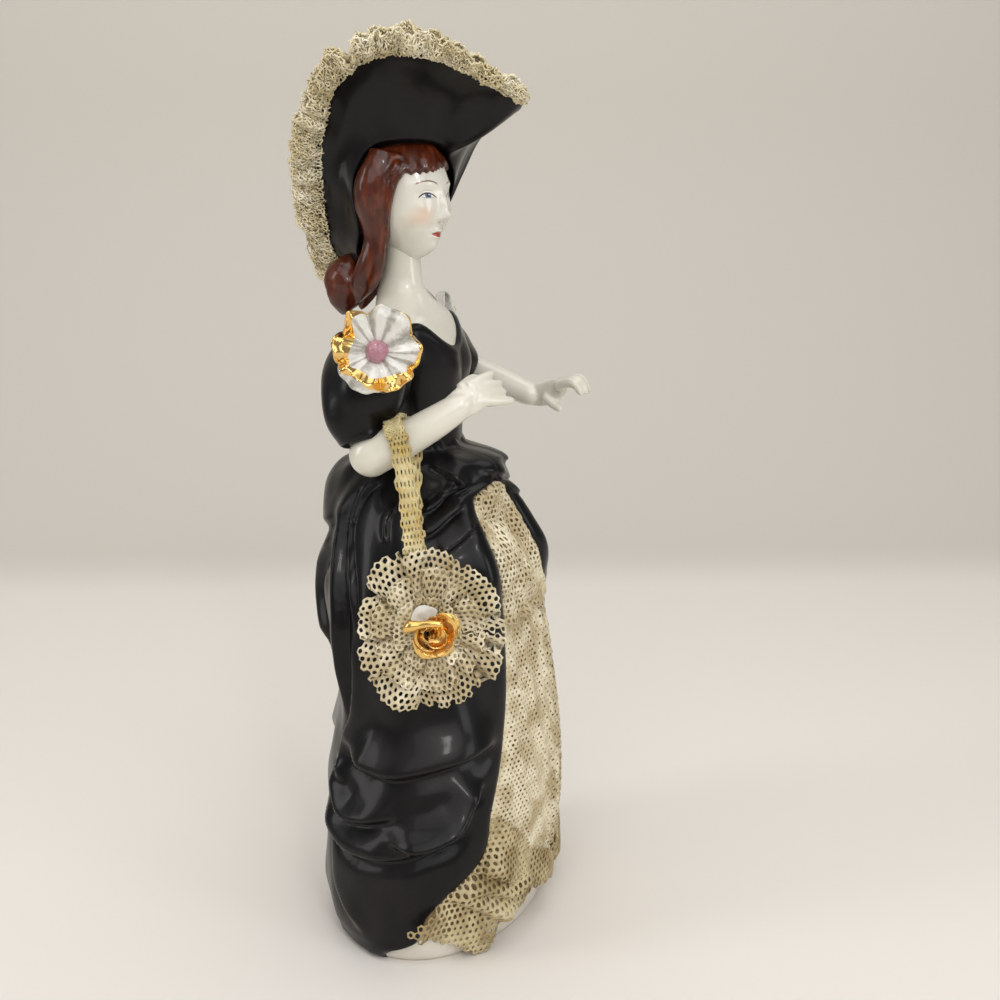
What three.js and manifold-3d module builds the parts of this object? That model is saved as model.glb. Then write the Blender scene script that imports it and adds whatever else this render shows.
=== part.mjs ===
// A glazed porcelain lady in a black evening gown, as a shelf figurine: a cast figure with a draped
// overskirt, cast forearms and a wide picture hat, trimmed with net that was dipped in slip and
// fired, and with hand-built flowers.
// Millimetres, +Z up, the front of the gown towards -Y, her right hand on -X, and the origin at the
// middle of the underside. An angle round the gown is 0 at the front, 90 on her right, 180 behind.
import * as THREE from "three";
import { mergeVertices } from "three/addons/utils/BufferGeometryUtils.js";
import Module from "manifold-3d";

// Driving dimensions, in millimetres.
const figureHeight = 240; // from the table to just above the net on the hat
const seatGap = 0.3; // hairline between a piece and what it is fixed to
const patchGap = 0.3; // hairline between one net on the skirt and the next
const brimWall = 2;
const crownWall = 2.2;
const panelWall = 1.4; // stiffened net on the front of the skirt
const panelRuffle = 1.6; // the ruffle down the panel's left edge stands this much prouder
const ruffleWall = 3.2; // gathered net of the jabot and the hem flounce
const trimReach = 6; // how far the net on the hat stands out past the brim's edge
const trimThickness = 3;
const strapWidth = 5;
const strapThickness = 1.1;
const strapSlack = 0.3; // between the strap and the arm, beyond the hairline
const strapSplit = 0.2; // between the strap's two runs where they meet the bag
const bagHalfWidth = 18.5;
const bagHalfHeight = 21;
const bagDepth = 5.5;
const roseRadius = 6.8;
const roseDepth = 5;
const flowerRadius = 11;
const flowerDepth = 5;
const overskirtStep = 1.3; // the black overskirt lies this far proud of the white underskirt

// The pose, proportions and drapery are drawn on a figure 240 units high.
const unit = figureHeight / 240;
const at = (x, y, z) => new THREE.Vector3(x, y, z).multiplyScalar(unit);
const radians = THREE.MathUtils.degToRad;
const smooth = THREE.MathUtils.smoothstep;
const bell = (x) => Math.exp(-x * x);

const wasm = await Module();
wasm.setup();

// Value in a column of rows that start with their position, on a smooth curve through them.
function along(rows, column, position) {
  const last = rows.length - 1;
  if (position <= rows[0][0]) return rows[0][column];
  if (position >= rows[last][0]) return rows[last][column];
  let i = 0;
  while (rows[i + 1][0] < position) i += 1;
  const slope = (k) => {
    const a = rows[Math.max(k - 1, 0)];
    const b = rows[Math.min(k + 1, last)];
    return (b[column] - a[column]) / (b[0] - a[0]);
  };
  const span = rows[i + 1][0] - rows[i][0];
  const t = (position - rows[i][0]) / span;
  const t2 = t * t;
  const t3 = t2 * t;
  return (
    (2 * t3 - 3 * t2 + 1) * rows[i][column] +
    (t3 - 2 * t2 + t) * span * slope(i) +
    (3 * t2 - 2 * t3) * rows[i + 1][column] +
    (t3 - t2) * span * slope(i + 1)
  );
}

// A closed solid from a three.js geometry, turned round if its faces point inwards.
function solidOf(geometry) {
  const bare = new THREE.BufferGeometry();
  bare.setAttribute("position", geometry.getAttribute("position"));
  bare.setIndex(geometry.index);
  const merged = mergeVertices(bare, 1e-4);
  const vertProperties = new Float32Array(merged.attributes.position.array);
  const build = (triVerts) => new wasm.Manifold(new wasm.Mesh({ numProp: 3, vertProperties, triVerts }));
  const triangles = Uint32Array.from(merged.index.array);
  const made = build(triangles);
  return made.volume() < 0 ? build(triangles.reverse()) : made;
}

// The largest single body of a solid, so that no loose sliver of a cut stays behind.
function mainBody(solid) {
  const bodies = solid.decompose();
  return bodies.reduce((a, b) => (b.volume() > a.volume() ? b : a));
}

// A loft through closed rings of points, with an end at the middle of the first and the last ring,
// or with no ends where the last ring is the first again.
function loft(rings, ends = [0, rings.length - 1]) {
  const sides = rings[0].length;
  const points = rings.flat();
  const faces = [];
  for (let j = 0; j + 1 < rings.length; j += 1) {
    for (let i = 0; i < sides; i += 1) {
      const a = j * sides + i;
      const b = j * sides + ((i + 1) % sides);
      faces.push(a, b, b + sides, a, b + sides, a + sides);
    }
  }
  ends.forEach((j) => {
    const middle = new THREE.Vector3();
    rings[j].forEach((p) => middle.add(p));
    points.push(middle.divideScalar(sides));
    for (let i = 0; i < sides; i += 1) {
      const a = j * sides + i;
      const b = j * sides + ((i + 1) % sides);
      if (j === 0) faces.push(b, a, points.length - 1);
      else faces.push(a, b, points.length - 1);
    }
  });
  const geometry = new THREE.BufferGeometry().setFromPoints(points);
  geometry.setIndex(faces);
  return solidOf(geometry);
}

// A slab between an inner and an outer face, both grids of rows of points.
function slab(inner, outer) {
  const rows = inner.length;
  const columns = inner[0].length;
  const points = [...inner.flat(), ...outer.flat()];
  const far = rows * columns;
  const faces = [];
  const quad = (a, b, c, d) => faces.push(a, b, c, a, c, d);
  for (let j = 0; j + 1 < rows; j += 1) {
    for (let i = 0; i + 1 < columns; i += 1) {
      const a = j * columns + i;
      quad(a, a + columns, a + columns + 1, a + 1);
      quad(far + a, far + a + 1, far + a + columns + 1, far + a + columns);
    }
    const left = j * columns;
    const right = left + columns - 1;
    quad(left, far + left, far + left + columns, left + columns);
    quad(right + columns, far + right + columns, far + right, right);
  }
  for (let i = 0; i + 1 < columns; i += 1) {
    const low = i;
    const high = (rows - 1) * columns + i;
    quad(low + 1, far + low + 1, far + low, low);
    quad(high, far + high, far + high + 1, high + 1);
  }
  const geometry = new THREE.BufferGeometry().setFromPoints(points);
  geometry.setIndex(faces);
  return solidOf(geometry);
}

// A round tube through [x, y, z, radius] rows in figure units; proud thickens it on all sides.
function limb(rows, sides, steps, proud = 0, flatten = 1) {
  const curve = new THREE.CatmullRomCurve3(rows.map(([x, y, z]) => at(x, y, z)));
  const radii = rows.map((row, i) => [i / (rows.length - 1), row[3] * unit]);
  const side = new THREE.Vector3();
  const rings = [];
  const first = curve.getTangent(0);
  const helper = Math.abs(first.x) > 0.8 ? new THREE.Vector3(0, 1, 0) : new THREE.Vector3(1, 0, 0);
  for (let j = 0; j <= steps; j += 1) {
    const t = j / steps;
    const forward = curve.getTangent(t);
    side.crossVectors(helper, forward).normalize();
    const up = new THREE.Vector3().crossVectors(forward, side);
    const radius = along(radii, 1, t) + proud;
    const reach = j === 0 ? -proud : j === steps ? proud : 0;
    const middle = curve.getPoint(t).addScaledVector(forward, reach);
    const ring = [];
    for (let i = 0; i < sides; i += 1) {
      const turn = (2 * Math.PI * i) / sides;
      const p = middle.clone().addScaledVector(side, radius * Math.cos(turn));
      ring.push(p.addScaledVector(up, radius * flatten * Math.sin(turn)));
    }
    rings.push(ring);
  }
  return loft(rings);
}

// An ellipsoid of half sizes in figure units.
function ellipsoid(centre, half, sides, rows, proud = 0) {
  const ball = new THREE.SphereGeometry(1, sides, rows);
  const size = half.map((h) => h * unit + proud);
  ball.scale(...size).translate(...centre.map((c) => c * unit));
  return solidOf(ball);
}

// Gown. Rows of height, half width, y of the front, y of the back and y of the widest place.
const skirtRows = [
  [0, 41.5, -26.4, 27, -1],
  [3, 42.2, -27.2, 27.8, -1],
  [6, 43, -28, 29, -1],
  [14, 43, -28.8, 29.4, -1],
  [30, 42.5, -30, 28.5, -1],
  [46, 41.5, -30, 26.4, -1.2],
  [62, 39.5, -28.4, 26.6, -1],
  [74, 38.3, -27.2, 26.4, 0],
  [86, 36.8, -25.6, 28.6, 1.4],
  [98, 34, -24.6, 29.8, 2],
  [106, 31.3, -22.8, 29.2, 3],
  [112, 28.6, -19.8, 28.6, 3.8],
  [118, 25, -16.4, 28, 4.6],
  [124, 20.4, -14.6, 26, 4.8],
  [128, 17, -13.8, 23, 4.8],
  [131.5, 14.4, -11.6, 18.6, 4.4],
  [134, 12.4, -7.2, 15, 4],
  [137, 11.6, -5.9, 13.4, 3.8],
];
const skirtGirth = 36; // mean radius that turns an angle into a distance along the cloth
const waist = skirtRows.at(-1)[0];
// Heights of the nets on the front of the skirt: hem flounce, panel and jabot, from the bottom up.
const flounceFoot = 3;
const flounceTop = 24;
const jabotFoot = 88;
const jabotTop = 121.5;
// Angle of the overskirt's front edges at each height: on her right, then on her left.
const edgeRows = [
  [0, 92, 92],
  [8, 84, 84],
  [18, 65, 65],
  [28, 51, 51],
  [40, 47, 47],
  [55, 43, 43],
  [70, 37, 39],
  [86, 35, 33],
  [96, 37, 24],
  [106, 38, 15],
  [116, 37, 8],
  [128, 31, 4],
];
// At each height, how deep the front lies back between the drapes, and how proud their edges roll.
const openingRows = [
  [60, 0, 0.5],
  [80, 0.8, 0.8],
  [94, 2, 2],
  [104, 2.6, 3.4],
  [114, 2.2, 3.2],
  [124, 1, 2.4],
  [131, 0, 0.4],
];
// Folds of the overskirt as [angle, height] lines. The cloth swells on the upper or left side of a
// line and drops away under it. The first group is mirrored on her left.
const hipFolds = [
  { line: [[37, 63], [58, 57.5], [86, 51.5], [112, 51.5], [130, 60]], swell: 3.5, width: 6.5 },
  { line: [[48, 51], [55, 40.5], [80, 32.5], [104, 33.5]], swell: 2.8, width: 5 },
  { line: [[84, 41], [102, 37], [124, 37], [140, 48]], swell: 2.4, width: 5 },
  { line: [[46, 35], [76, 29.5], [108, 25.5], [138, 29], [156, 42]], swell: 3.2, width: 6 },
  { line: [[100, 126], [122, 115], [124, 100], [128, 84], [120, 66]], swell: 2.3, width: 4.5 },
  { line: [[117, 128], [134, 118], [151, 108], [156, 94], [146, 74]], swell: 2.8, width: 6 },
  { line: [[36, 122], [50, 118], [68, 113]], swell: 1.7, width: 3 },
  { line: [[34, 112], [48, 107], [66, 105]], swell: 1.6, width: 3.2 },
];
const bustleFolds = [
  { line: [[144, 109], [180, 100], [216, 109]], swell: 3.4, width: 9 },
  { line: [[138, 84], [180, 74], [222, 84]], swell: 3.2, width: 8 },
  { line: [[142, 60], [180, 49], [218, 60]], swell: 3, width: 8 },
  { line: [[150, 24], [180, 16], [210, 24]], swell: 2.4, width: 7 },
];

// A fold as sampled points in millimetres of cloth, on a smooth curve through its line.
function sampled({ line, swell, width }) {
  const flat = line.map(([angle, height]) => new THREE.Vector2(radians(angle) * skirtGirth, height));
  const behind = line.at(-1)[0] > 180;
  return { points: new THREE.SplineCurve(flat).getPoints(16), swell, width, behind };
}
const mirrored = ({ line, swell, width }) => ({
  line: line.map(([angle, height]) => [-angle, height + 2]).reverse(),
  swell,
  width,
});
const folds = [...hipFolds, ...hipFolds.map(mirrored), ...bustleFolds].map(sampled);

// Where the drapes roll beside the opening and how wide, in degrees from the overskirt's edge.
const edgeRoll = { inside: 7, wide: 8 };
// The gathers of the overskirt behind her waist: how proud, how many degrees wide, where and how tall.
const bustle = { swell: 3, spread: 34, height: 119, tall: 8 };

// Height of one fold above the plain cloth at an angle and height.
function foldHeight(fold, angle, height) {
  const turn = fold.behind && angle < 0 ? angle + 360 : angle;
  const here = new THREE.Vector2(radians(turn) * skirtGirth, height);
  let nearest = Infinity;
  let signed = 0;
  let share = 0;
  const last = fold.points.length - 1;
  for (let i = 0; i < last; i += 1) {
    const a = fold.points[i];
    const run = fold.points[i + 1].clone().sub(a);
    const off = here.clone().sub(a);
    const t = THREE.MathUtils.clamp(off.dot(run) / run.lengthSq(), 0, 1);
    const gap = off.clone().addScaledVector(run, -t).length();
    if (gap < nearest) {
      nearest = gap;
      signed = run.cross(off) < 0 ? -gap : gap;
      share = (i + t) / last;
    }
  }
  const s = signed / fold.width;
  const taper = smooth(share, 0, 0.22) * smooth(1 - share, 0, 0.22);
  return fold.swell * taper * (bell(s - 0.5) - 0.5 * bell((s + 0.4) / 0.38));
}

// How far an angle lies outside the opening of the overskirt, in degrees; negative in the opening.
function outside(angle, height) {
  return Math.max(angle - along(edgeRows, 1, height), -angle - along(edgeRows, 2, height));
}

// Everything that folds add to the plain shape, in figure units.
function drapery(angle, height) {
  const side = Math.abs(angle);
  const off = outside(angle, height);
  const total = folds.reduce((sum, fold) => sum + foldHeight(fold, angle, height), 0);
  const fade = smooth(height, 1, 6) * smooth(waist - 1 - height, 2, 10) * smooth(off, -6, 2);
  const recess = along(openingRows, 1, height) * smooth(-off, 0, 9);
  const roll = along(openingRows, 2, height) * bell((off - edgeRoll.inside) / edgeRoll.wide);
  const behind = bell((180 - side) / bustle.spread) * bell((height - bustle.height) / bustle.tall);
  return total * fade + bustle.swell * behind + roll - recess;
}

// A point of the gown's skirt, in millimetres; proud moves it outwards.
function skirtPoint(angle, height, proud) {
  const turn = radians(angle);
  const [halfWidth, front, back, middle] = [1, 2, 3, 4].map((c) => along(skirtRows, c, height));
  const depth = Math.cos(turn) > 0 ? middle - front : back - middle;
  const outward = new THREE.Vector2(-Math.sin(turn) / halfWidth, -Math.cos(turn) / depth).normalize();
  const step = overskirtStep * smooth(outside(angle, height), -3, 1) * smooth(height, 3, 6);
  const lift = drapery(angle, height) * unit + step + proud;
  const x = -halfWidth * Math.sin(turn) * unit + outward.x * lift;
  const y = (middle - depth * Math.cos(turn)) * unit + outward.y * lift;
  return new THREE.Vector3(x, y, height * unit);
}

// Heights of the skirt's rings: even steps in each stretch, so that a ring lies at each net's edge.
const stretches = [
  [0, flounceFoot, 1],
  [flounceFoot, flounceTop, 4],
  [flounceTop, jabotFoot, 10],
  [jabotFoot, jabotTop, 6],
  [jabotTop, waist, 3],
];
const skirtHeights = [0];
for (const [low, high, steps] of stretches) {
  for (let j = 1; j <= steps; j += 1) skirtHeights.push(THREE.MathUtils.lerp(low, high, j / steps));
}
const openingColumns = 12;
const overskirtColumns = 32;
const edgeMargin = 3.2; // degrees from the overskirt's edge to the net in the opening

// Angle in the opening of the overskirt at a height, for a side from 1 on her right to -1.
function openingAngle(side, height) {
  const right = along(edgeRows, 1, height) - edgeMargin;
  const left = along(edgeRows, 2, height) - edgeMargin;
  return ((right - left) + (right + left) * side) / 2;
}

// Angles of a ring of the skirt: round the back from her left, then across the opening.
function ringAngles(height) {
  const first = 360 - along(edgeRows, 2, height) - 1;
  const last = along(edgeRows, 1, height) + 1;
  const cloth = Array.from(
    { length: overskirtColumns + 1 },
    (_, i) => first + ((last - first) * i) / overskirtColumns,
  );
  const net = Array.from({ length: openingColumns + 1 }, (_, i) =>
    openingAngle(1 - (2 * i) / openingColumns, height),
  );
  return [...cloth.map((angle) => (angle > 180 ? angle - 360 : angle)), ...net];
}

function skirt(proud) {
  return loft(skirtHeights.map((h) => ringAngles(h).map((angle) => skirtPoint(angle, h, proud))));
}

// Bodice, shoulders and neck: height, half width, half depth, y of the middle.
const torsoRows = [
  [122, 11.5, 9, 4],
  [133, 11.4, 9.6, 3.8],
  [140, 12.4, 9.8, 3.8],
  [149, 15.2, 10.4, 3.8],
  [156, 17.2, 10.2, 4],
  [162, 17.8, 9.8, 5.2],
  [167, 15.4, 8.8, 7],
  [170.5, 9, 6.8, 8.4],
  [174, 5.2, 5.2, 9.6],
  [180, 4.5, 4.6, 10.4],
  [187, 4.8, 5, 10.6],
];
const bust = { swell: 1.8, side: 6.4, wide: 5, height: 155, tall: 5.4 };

function torso(proud) {
  const rings = [];
  const steps = 12;
  const sides = 16;
  const [low, high] = [torsoRows[0][0], torsoRows.at(-1)[0]];
  for (let j = 0; j <= steps; j += 1) {
    const height = low + ((high - low) * j) / steps;
    const [halfWidth, halfDepth, middle] = [1, 2, 3].map((c) => along(torsoRows, c, height));
    const ring = [];
    for (let i = 0; i < sides; i += 1) {
      const turn = Math.PI - (2 * Math.PI * i) / sides;
      const x = -halfWidth * Math.sin(turn);
      const front = Math.max(Math.cos(turn), 0);
      const across = bell((Math.abs(x) - bust.side) / bust.wide);
      const swell = bust.swell * front * across * bell((height - bust.height) / bust.tall);
      const grown = 1 + proud / (halfWidth * unit);
      ring.push(at(x * grown, middle - (halfDepth * Math.cos(turn) + swell) * grown, height));
    }
    rings.push(ring);
  }
  return loft(rings);
}

// Puffed sleeves: centre line and radius from the shoulder to the elbow.
const sleeveRows = {
  right: [
    [-11, 7, 163.5, 7],
    [-18, 8.5, 162, 10],
    [-23.6, 11.2, 157, 12],
    [-26.6, 12.6, 150, 11.6],
    [-29.4, 12.4, 143, 8.8],
    [-30.2, 11, 137.2, 6.9],
  ],
  left: [
    [11, 7, 163.5, 7],
    [18, 8.8, 161.4, 9],
    [24, 11.2, 157, 10],
    [29.4, 12, 153, 9.8],
    [33.6, 9.8, 150.4, 8.4],
    [36.4, 5.8, 149.2, 6.6],
  ],
};

// Head. The face looks to her right by the head's turn.
const headCentre = [0, 9.4, 198];
const headTurn = 18;
const headHalf = [10.4, 12.2, 16.4];
const jawTaper = 0.2; // share of its width that the head loses towards the chin
// Soft forms of the face: to the side and above the middle of the head, how proud, how wide and tall.
const faceForms = {
  nose: { side: 0, up: -2.4, proud: 3, wide: 1.7, tall: 2.6 },
  lips: { side: 0, up: -8.4, proud: 1, wide: 3, tall: 1.6 },
  chin: { side: 0, up: -14, proud: 2, wide: 4, tall: 3.4 },
  sockets: { side: 4, up: 0.6, proud: -1.1, wide: 2.4, tall: 2.2 },
};
const hairCentre = [0, 10.6, 198];
const hairHalf = [12.2, 14.2, 17];

// A point near the head from its own right, forward and up distances.
function headPoint(right, forward, up) {
  const c = Math.cos(radians(headTurn));
  const s = Math.sin(radians(headTurn));
  return [
    headCentre[0] - right * c - forward * s,
    headCentre[1] + right * s - forward * c,
    headCentre[2] + up,
  ];
}

// Outward direction on the head at a turn and rise, used to thicken it.
function headOutward(turn, rise) {
  const level = Math.cos(rise);
  const tip = headPoint(level * Math.sin(turn), level * Math.cos(turn), Math.sin(rise));
  return new THREE.Vector3(...tip).sub(new THREE.Vector3(...headCentre));
}

// How far the face's forms lift it forwards at a distance to the side and up.
function faceLift(side, up) {
  const lift = ({ side: place, up: height, proud, wide, tall }) =>
    proud * bell((Math.abs(side) - place) / wide) * bell((up - height) / tall);
  return Object.values(faceForms).reduce((sum, form) => sum + lift(form), 0);
}

// The head: an egg that narrows to the chin, with the face's forms on its front.
function head(proud) {
  const sides = 18;
  const rows = 13;
  const rings = [];
  for (let j = 1; j < rows; j += 1) {
    const rise = -Math.PI / 2 + (Math.PI * j) / rows;
    const up = headHalf[2] * Math.sin(rise);
    const jaw = 1 - jawTaper * smooth(-up, 2, headHalf[2]);
    const ring = [];
    for (let i = 0; i < sides; i += 1) {
      const turn = Math.PI - (2 * Math.PI * i) / sides;
      const right = headHalf[0] * Math.cos(rise) * Math.sin(turn) * jaw;
      const plain = headHalf[1] * Math.cos(rise) * Math.cos(turn);
      const forward = plain + (plain > 0 ? faceLift(right, up) : 0);
      ring.push(at(...headPoint(right, forward, up)).addScaledVector(headOutward(turn, rise), proud));
    }
    rings.push(ring);
  }
  return loft(rings);
}

// Hair: a cap swept back from the face, a fringe over the brow and long locks behind the neck, each
// as a centre line with a radius.
const locks = [
  [
    [-7.4, 14, 203, 2.4],
    [-9.8, 15.2, 192, 3.4],
    [-9.4, 16.6, 183, 4],
    [-8.4, 18, 176, 3.6],
    [-7.4, 19.6, 169, 1.6],
  ],
  [
    [-6, 20, 191, 4.8],
    [-7.6, 22.2, 183, 5],
    [-8.4, 23.4, 176, 4.8],
    [-7, 24, 170, 3.6],
    [-5.6, 24.4, 165.5, 1.4],
  ],
  [
    [0, 21, 191, 5.4],
    [-2, 24, 183, 5.2],
    [-3, 25.4, 176, 4.6],
    [-3.4, 25, 168.5, 1.6],
  ],
  [
    [7.4, 14, 203, 2.4],
    [9.6, 16, 191, 3.6],
    [7.4, 20, 182, 4.6],
    [3.6, 22.6, 175, 4.4],
    [1, 23.6, 168, 1.6],
  ],
];

const hairFront = 0.5; // the swept hair starts this far in front of the middle of the head
const fringeFoot = 206.5;

function hair(proud) {
  const cap = ellipsoid(hairCentre, hairHalf, 18, 10, proud);
  const turn = radians(headTurn);
  const backward = [Math.sin(turn), Math.cos(turn), 0];
  const reach = backward[0] * headCentre[0] + backward[1] * headCentre[1];
  const sweptBack = cap.trimByPlane(backward, (reach - hairFront) * unit - proud);
  const fringe = cap.trimByPlane([0, 0, 1], fringeFoot * unit - proud);
  return locks.reduce((made, lock) => made.add(limb(lock, 7, 6, proud)), sweptBack.add(fringe));
}

function figure(proud) {
  return skirt(proud)
    .add(torso(proud))
    .add(limb(sleeveRows.right, 12, 7, proud))
    .add(limb(sleeveRows.left, 12, 7, proud))
    .add(head(proud))
    .add(hair(proud));
}

// Forearm and hand: the elbow, the arm's rows, and where the palm and each finger lie.
const arms = {
  right: {
    elbow: [-30.4, 8.6, 134.6],
    arm: [
      [-30.4, 8.6, 134.6, 5.9],
      [-29.2, 1.6, 138.4, 5.4],
      [-27.8, -7, 143.6, 4.8],
      [-26, -14.8, 149, 4],
      [-24.6, -18, 150.8, 3.8],
    ],
    palm: [
      [-25.4, -16.4, 150, 3.9],
      [-22.6, -19.6, 151.4, 4.3],
      [-19.4, -22.4, 151.8, 3.7],
    ],
    fingers: [
      [[-20.4, -20, 154.4], [-16.6, -20.6, 155], [-13.4, -20, 152.8]],
      [[-19.6, -21.6, 153], [-15.6, -22.8, 153.2], [-12.4, -22.6, 151]],
      [[-19.4, -23, 151.4], [-15.8, -24.6, 151.2], [-13, -24.8, 149]],
      [[-19.8, -23.8, 149.8], [-16.8, -26, 149.2], [-14.4, -26.6, 147.4]],
      [[-22.6, -20.4, 149.4], [-21, -24.6, 148.8], [-19.8, -28, 148.4]],
    ],
  },
  left: {
    elbow: [36.2, 5, 149],
    arm: [
      [36.2, 5, 149, 5],
      [34.4, -1, 147.6, 4.6],
      [32.8, -8, 145.4, 4.1],
      [31.2, -15, 143, 3.4],
      [30, -19.4, 142, 3.1],
    ],
    palm: [
      [30.4, -18, 142.2, 3.1],
      [29, -23.4, 144.6, 3.5],
      [27.6, -27.6, 146.6, 3.1],
    ],
    fingers: [
      [[30, -26.6, 146.6], [29.4, -31.4, 147.8], [28.8, -34.2, 144.6]],
      [[28.6, -27, 147.2], [27.4, -32.2, 148.2], [26.6, -35.2, 144.8]],
      [[27, -26.8, 147], [25.4, -31.6, 147.8], [24.6, -34.4, 144.4]],
      [[25.8, -26, 146.4], [23.8, -29.8, 147], [23, -32.4, 144]],
      [[29, -21.6, 142.2], [28, -24.8, 139.8], [27, -27.6, 139]],
    ],
  },
};

function forearm({ elbow, arm, palm, fingers }, proud) {
  const digit = ([a, b, c]) => limb([[...a, 1.3], [...b, 1.2], [...c, 0.8]], 5, 2, proud);
  return fingers
    .reduce((made, finger) => made.add(digit(finger)), limb(arm, 9, 5, proud))
    .add(limb(palm, 8, 2, proud, 0.7))
    .add(ellipsoid(elbow, [arm[0][3], arm[0][3], arm[0][3]], 9, 5, proud));
}

// Hat. The brim's edge as a loop from the front tip up over her right and round the back, and the
// way that the crown points.
const rimLoop = [
  [-3, -22.8, 221.6],
  [-12, -15.2, 227.8],
  [-18, -8.2, 231.5],
  [-21, 0.3, 233.5],
  [-21.5, 7.5, 233.2],
  [-20.8, 14.5, 230.8],
  [-18.5, 22.6, 224.8],
  [-15, 26.6, 217.6],
  [-11.5, 30, 210.4],
  [-7, 31.4, 200.5],
  [-3, 31.9, 191.6],
  [1.5, 31, 184],
  [8, 28.2, 181],
  [15.5, 23.6, 181.6],
  [22.5, 17, 185],
  [27, 9.5, 193.2],
  [26.6, 3.2, 204.4],
  [23, -3.4, 214],
  [10, -14.6, 218.6],
];
const crownWay = new THREE.Vector3(0.62, 0.33, 0.71).normalize();
const brimSeat = 6.5; // the brim's inner ring lies this far along the crown's way from the hair's middle
const brimRing = 12.2; // radius of that ring, within the crown
const brimDish = 3.2; // how far the brim hollows towards the crown
const brimFlute = 1.6;
const brimFlutes = 11; // as many as would go all round; only those behind her neck show
const crownTuck = 2.5; // the crown starts this far inside the brim
const rimTaper = 0.3; // share of the wall that is lost at the rim

// A point of the brim: round runs once along the rim from 0 to 1, share from the head to the rim.
// The brim hollows towards the crown, and flutes gather it behind her neck.
function brimPoint(rim, round, share) {
  const edge = rim.getPoint(round);
  const hub = at(...hairCentre).addScaledVector(crownWay, brimSeat * unit);
  const spoke = edge.clone().sub(hub);
  spoke.addScaledVector(crownWay, -spoke.dot(crownWay)).normalize();
  const ring = hub.clone().addScaledVector(spoke, brimRing * unit);
  const flute = Math.sin(round * 2 * Math.PI * brimFlutes) * bell((round - 0.52) / 0.13);
  const hollow = brimDish * 4 * share * (1 - share) + brimFlute * share * flute;
  return ring.lerp(edge, share).addScaledVector(crownWay, hollow * unit);
}

// The brim: its underside from the head out to the rim, then its upper face back again.
function brim(proud) {
  const rim = new THREE.CatmullRomCurve3(rimLoop.map((p) => at(...p)), true);
  const around = 34;
  const shares = [0, 0.4, 0.75, 1];
  const half = brimWall / 2 + proud;
  const face = (share, side) =>
    Array.from({ length: around }, (_, i) => {
      const p = brimPoint(rim, i / around, share);
      const onward = p.clone().sub(brimPoint(rim, i / around, share - 0.2)).normalize();
      p.addScaledVector(onward, share === 1 ? proud : 0);
      return p.addScaledVector(crownWay, side * half * (1 - rimTaper * share));
    });
  const under = shares.map((share) => face(share, -1));
  const upper = [...shares].reverse().map((share) => face(share, 1));
  return loft([...under, ...upper, under[0]], []);
}

function hat(proud) {
  const seat = at(...hairCentre).dot(crownWay) + (brimSeat - crownTuck) * unit;
  const crown = ellipsoid(hairCentre, hairHalf, 16, 9, crownWall + proud).trimByPlane(
    crownWay.toArray(),
    seat - proud,
  );
  return crown.add(brim(proud));
}

// Net on the hat: a gathered band that follows the rim from the tip over her right to the back.
const trimStart = -0.008; // as shares of the way round the rim
const trimEnd = 0.6;
const trimSteps = 42;

// Cross-section of the net: how far out past the rim, and how far across it towards the crown.
const trimSection = [
  [0, -0.9],
  [0.75, -1],
  [1, 0.2],
  [0.6, 1.3],
  [0, 1],
];

function hatTrim() {
  const rim = new THREE.CatmullRomCurve3(rimLoop.map((p) => at(...p)), true);
  const rings = [];
  for (let j = 0; j <= trimSteps; j += 1) {
    const round = (trimStart + ((trimEnd - trimStart) * j) / trimSteps + 1) % 1;
    const edge = brimPoint(rim, round, 1);
    const outward = edge.clone().sub(brimPoint(rim, round, 0.8)).normalize();
    const across = new THREE.Vector3().crossVectors(rim.getTangent(round), outward).normalize();
    if (across.dot(crownWay) < 0) across.negate();
    const ends = 0.5 + 0.5 * smooth(j, 0, 2) * smooth(trimSteps - j, 0, 2);
    const gather = ends * (1 + 0.2 * Math.sin(j * 2.4) + 0.3 * smooth(j, 18, 30));
    const half = (trimThickness / 2) * ends * (1 + 0.2 * Math.cos(j * 1.7));
    const clear = seatGap + (brimWall / 2) * Math.abs(outward.dot(crownWay));
    rings.push(
      trimSection.map(([out, side]) =>
        edge
          .clone()
          .addScaledVector(outward, clear + out * trimReach * gather)
          .addScaledVector(across, side * half),
      ),
    );
  }
  return loft(rings);
}

// A net patch in the opening of the overskirt, over the rows of the skirt between two heights, so
// that its inner face runs level with the cloth. Its wall is given for a side and a height.
function openingPatch(low, high, thickness) {
  const trimmed = (height) =>
    THREE.MathUtils.clamp(height, low + patchGap / 2 / unit, high - patchGap / 2 / unit);
  const heights = skirtHeights.filter((height) => height >= low && height <= high).map(trimmed);
  const grid = (proud) =>
    heights.map((height, j) =>
      Array.from({ length: openingColumns + 1 }, (_, i) => {
        const side = 1 - (2 * i) / openingColumns;
        return skirtPoint(openingAngle(side, height), height, seatGap + proud(side, height, i, j));
      }),
    );
  return slab(grid(() => 0), grid(thickness));
}

// The panel is plain net with a ruffle down her left edge.
const frontPanel = () =>
  openingPatch(flounceTop, jabotFoot, (side, height, i, j) => {
    const ruffle = panelRuffle * smooth(-side, 0.5, 0.9) * (1 + 0.3 * (-1) ** j);
    return panelWall * (1 + 0.2 * (-1) ** i) + ruffle;
  });

// The jabot is crumpled in cross folds, and the flounce gathered in flutes.
const jabot = () =>
  openingPatch(jabotFoot, jabotTop, (side, height, i, j) => {
    const crumple = 1 + 0.35 * (-1) ** (j + Math.floor(i / 3));
    return ruffleWall * crumple * (1 - 0.4 * side * side);
  });

const hemClimb = 0.4; // slope of the flounce's lower edge at her sides
const hemClimbFrom = 28; // it climbs from this far out

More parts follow.
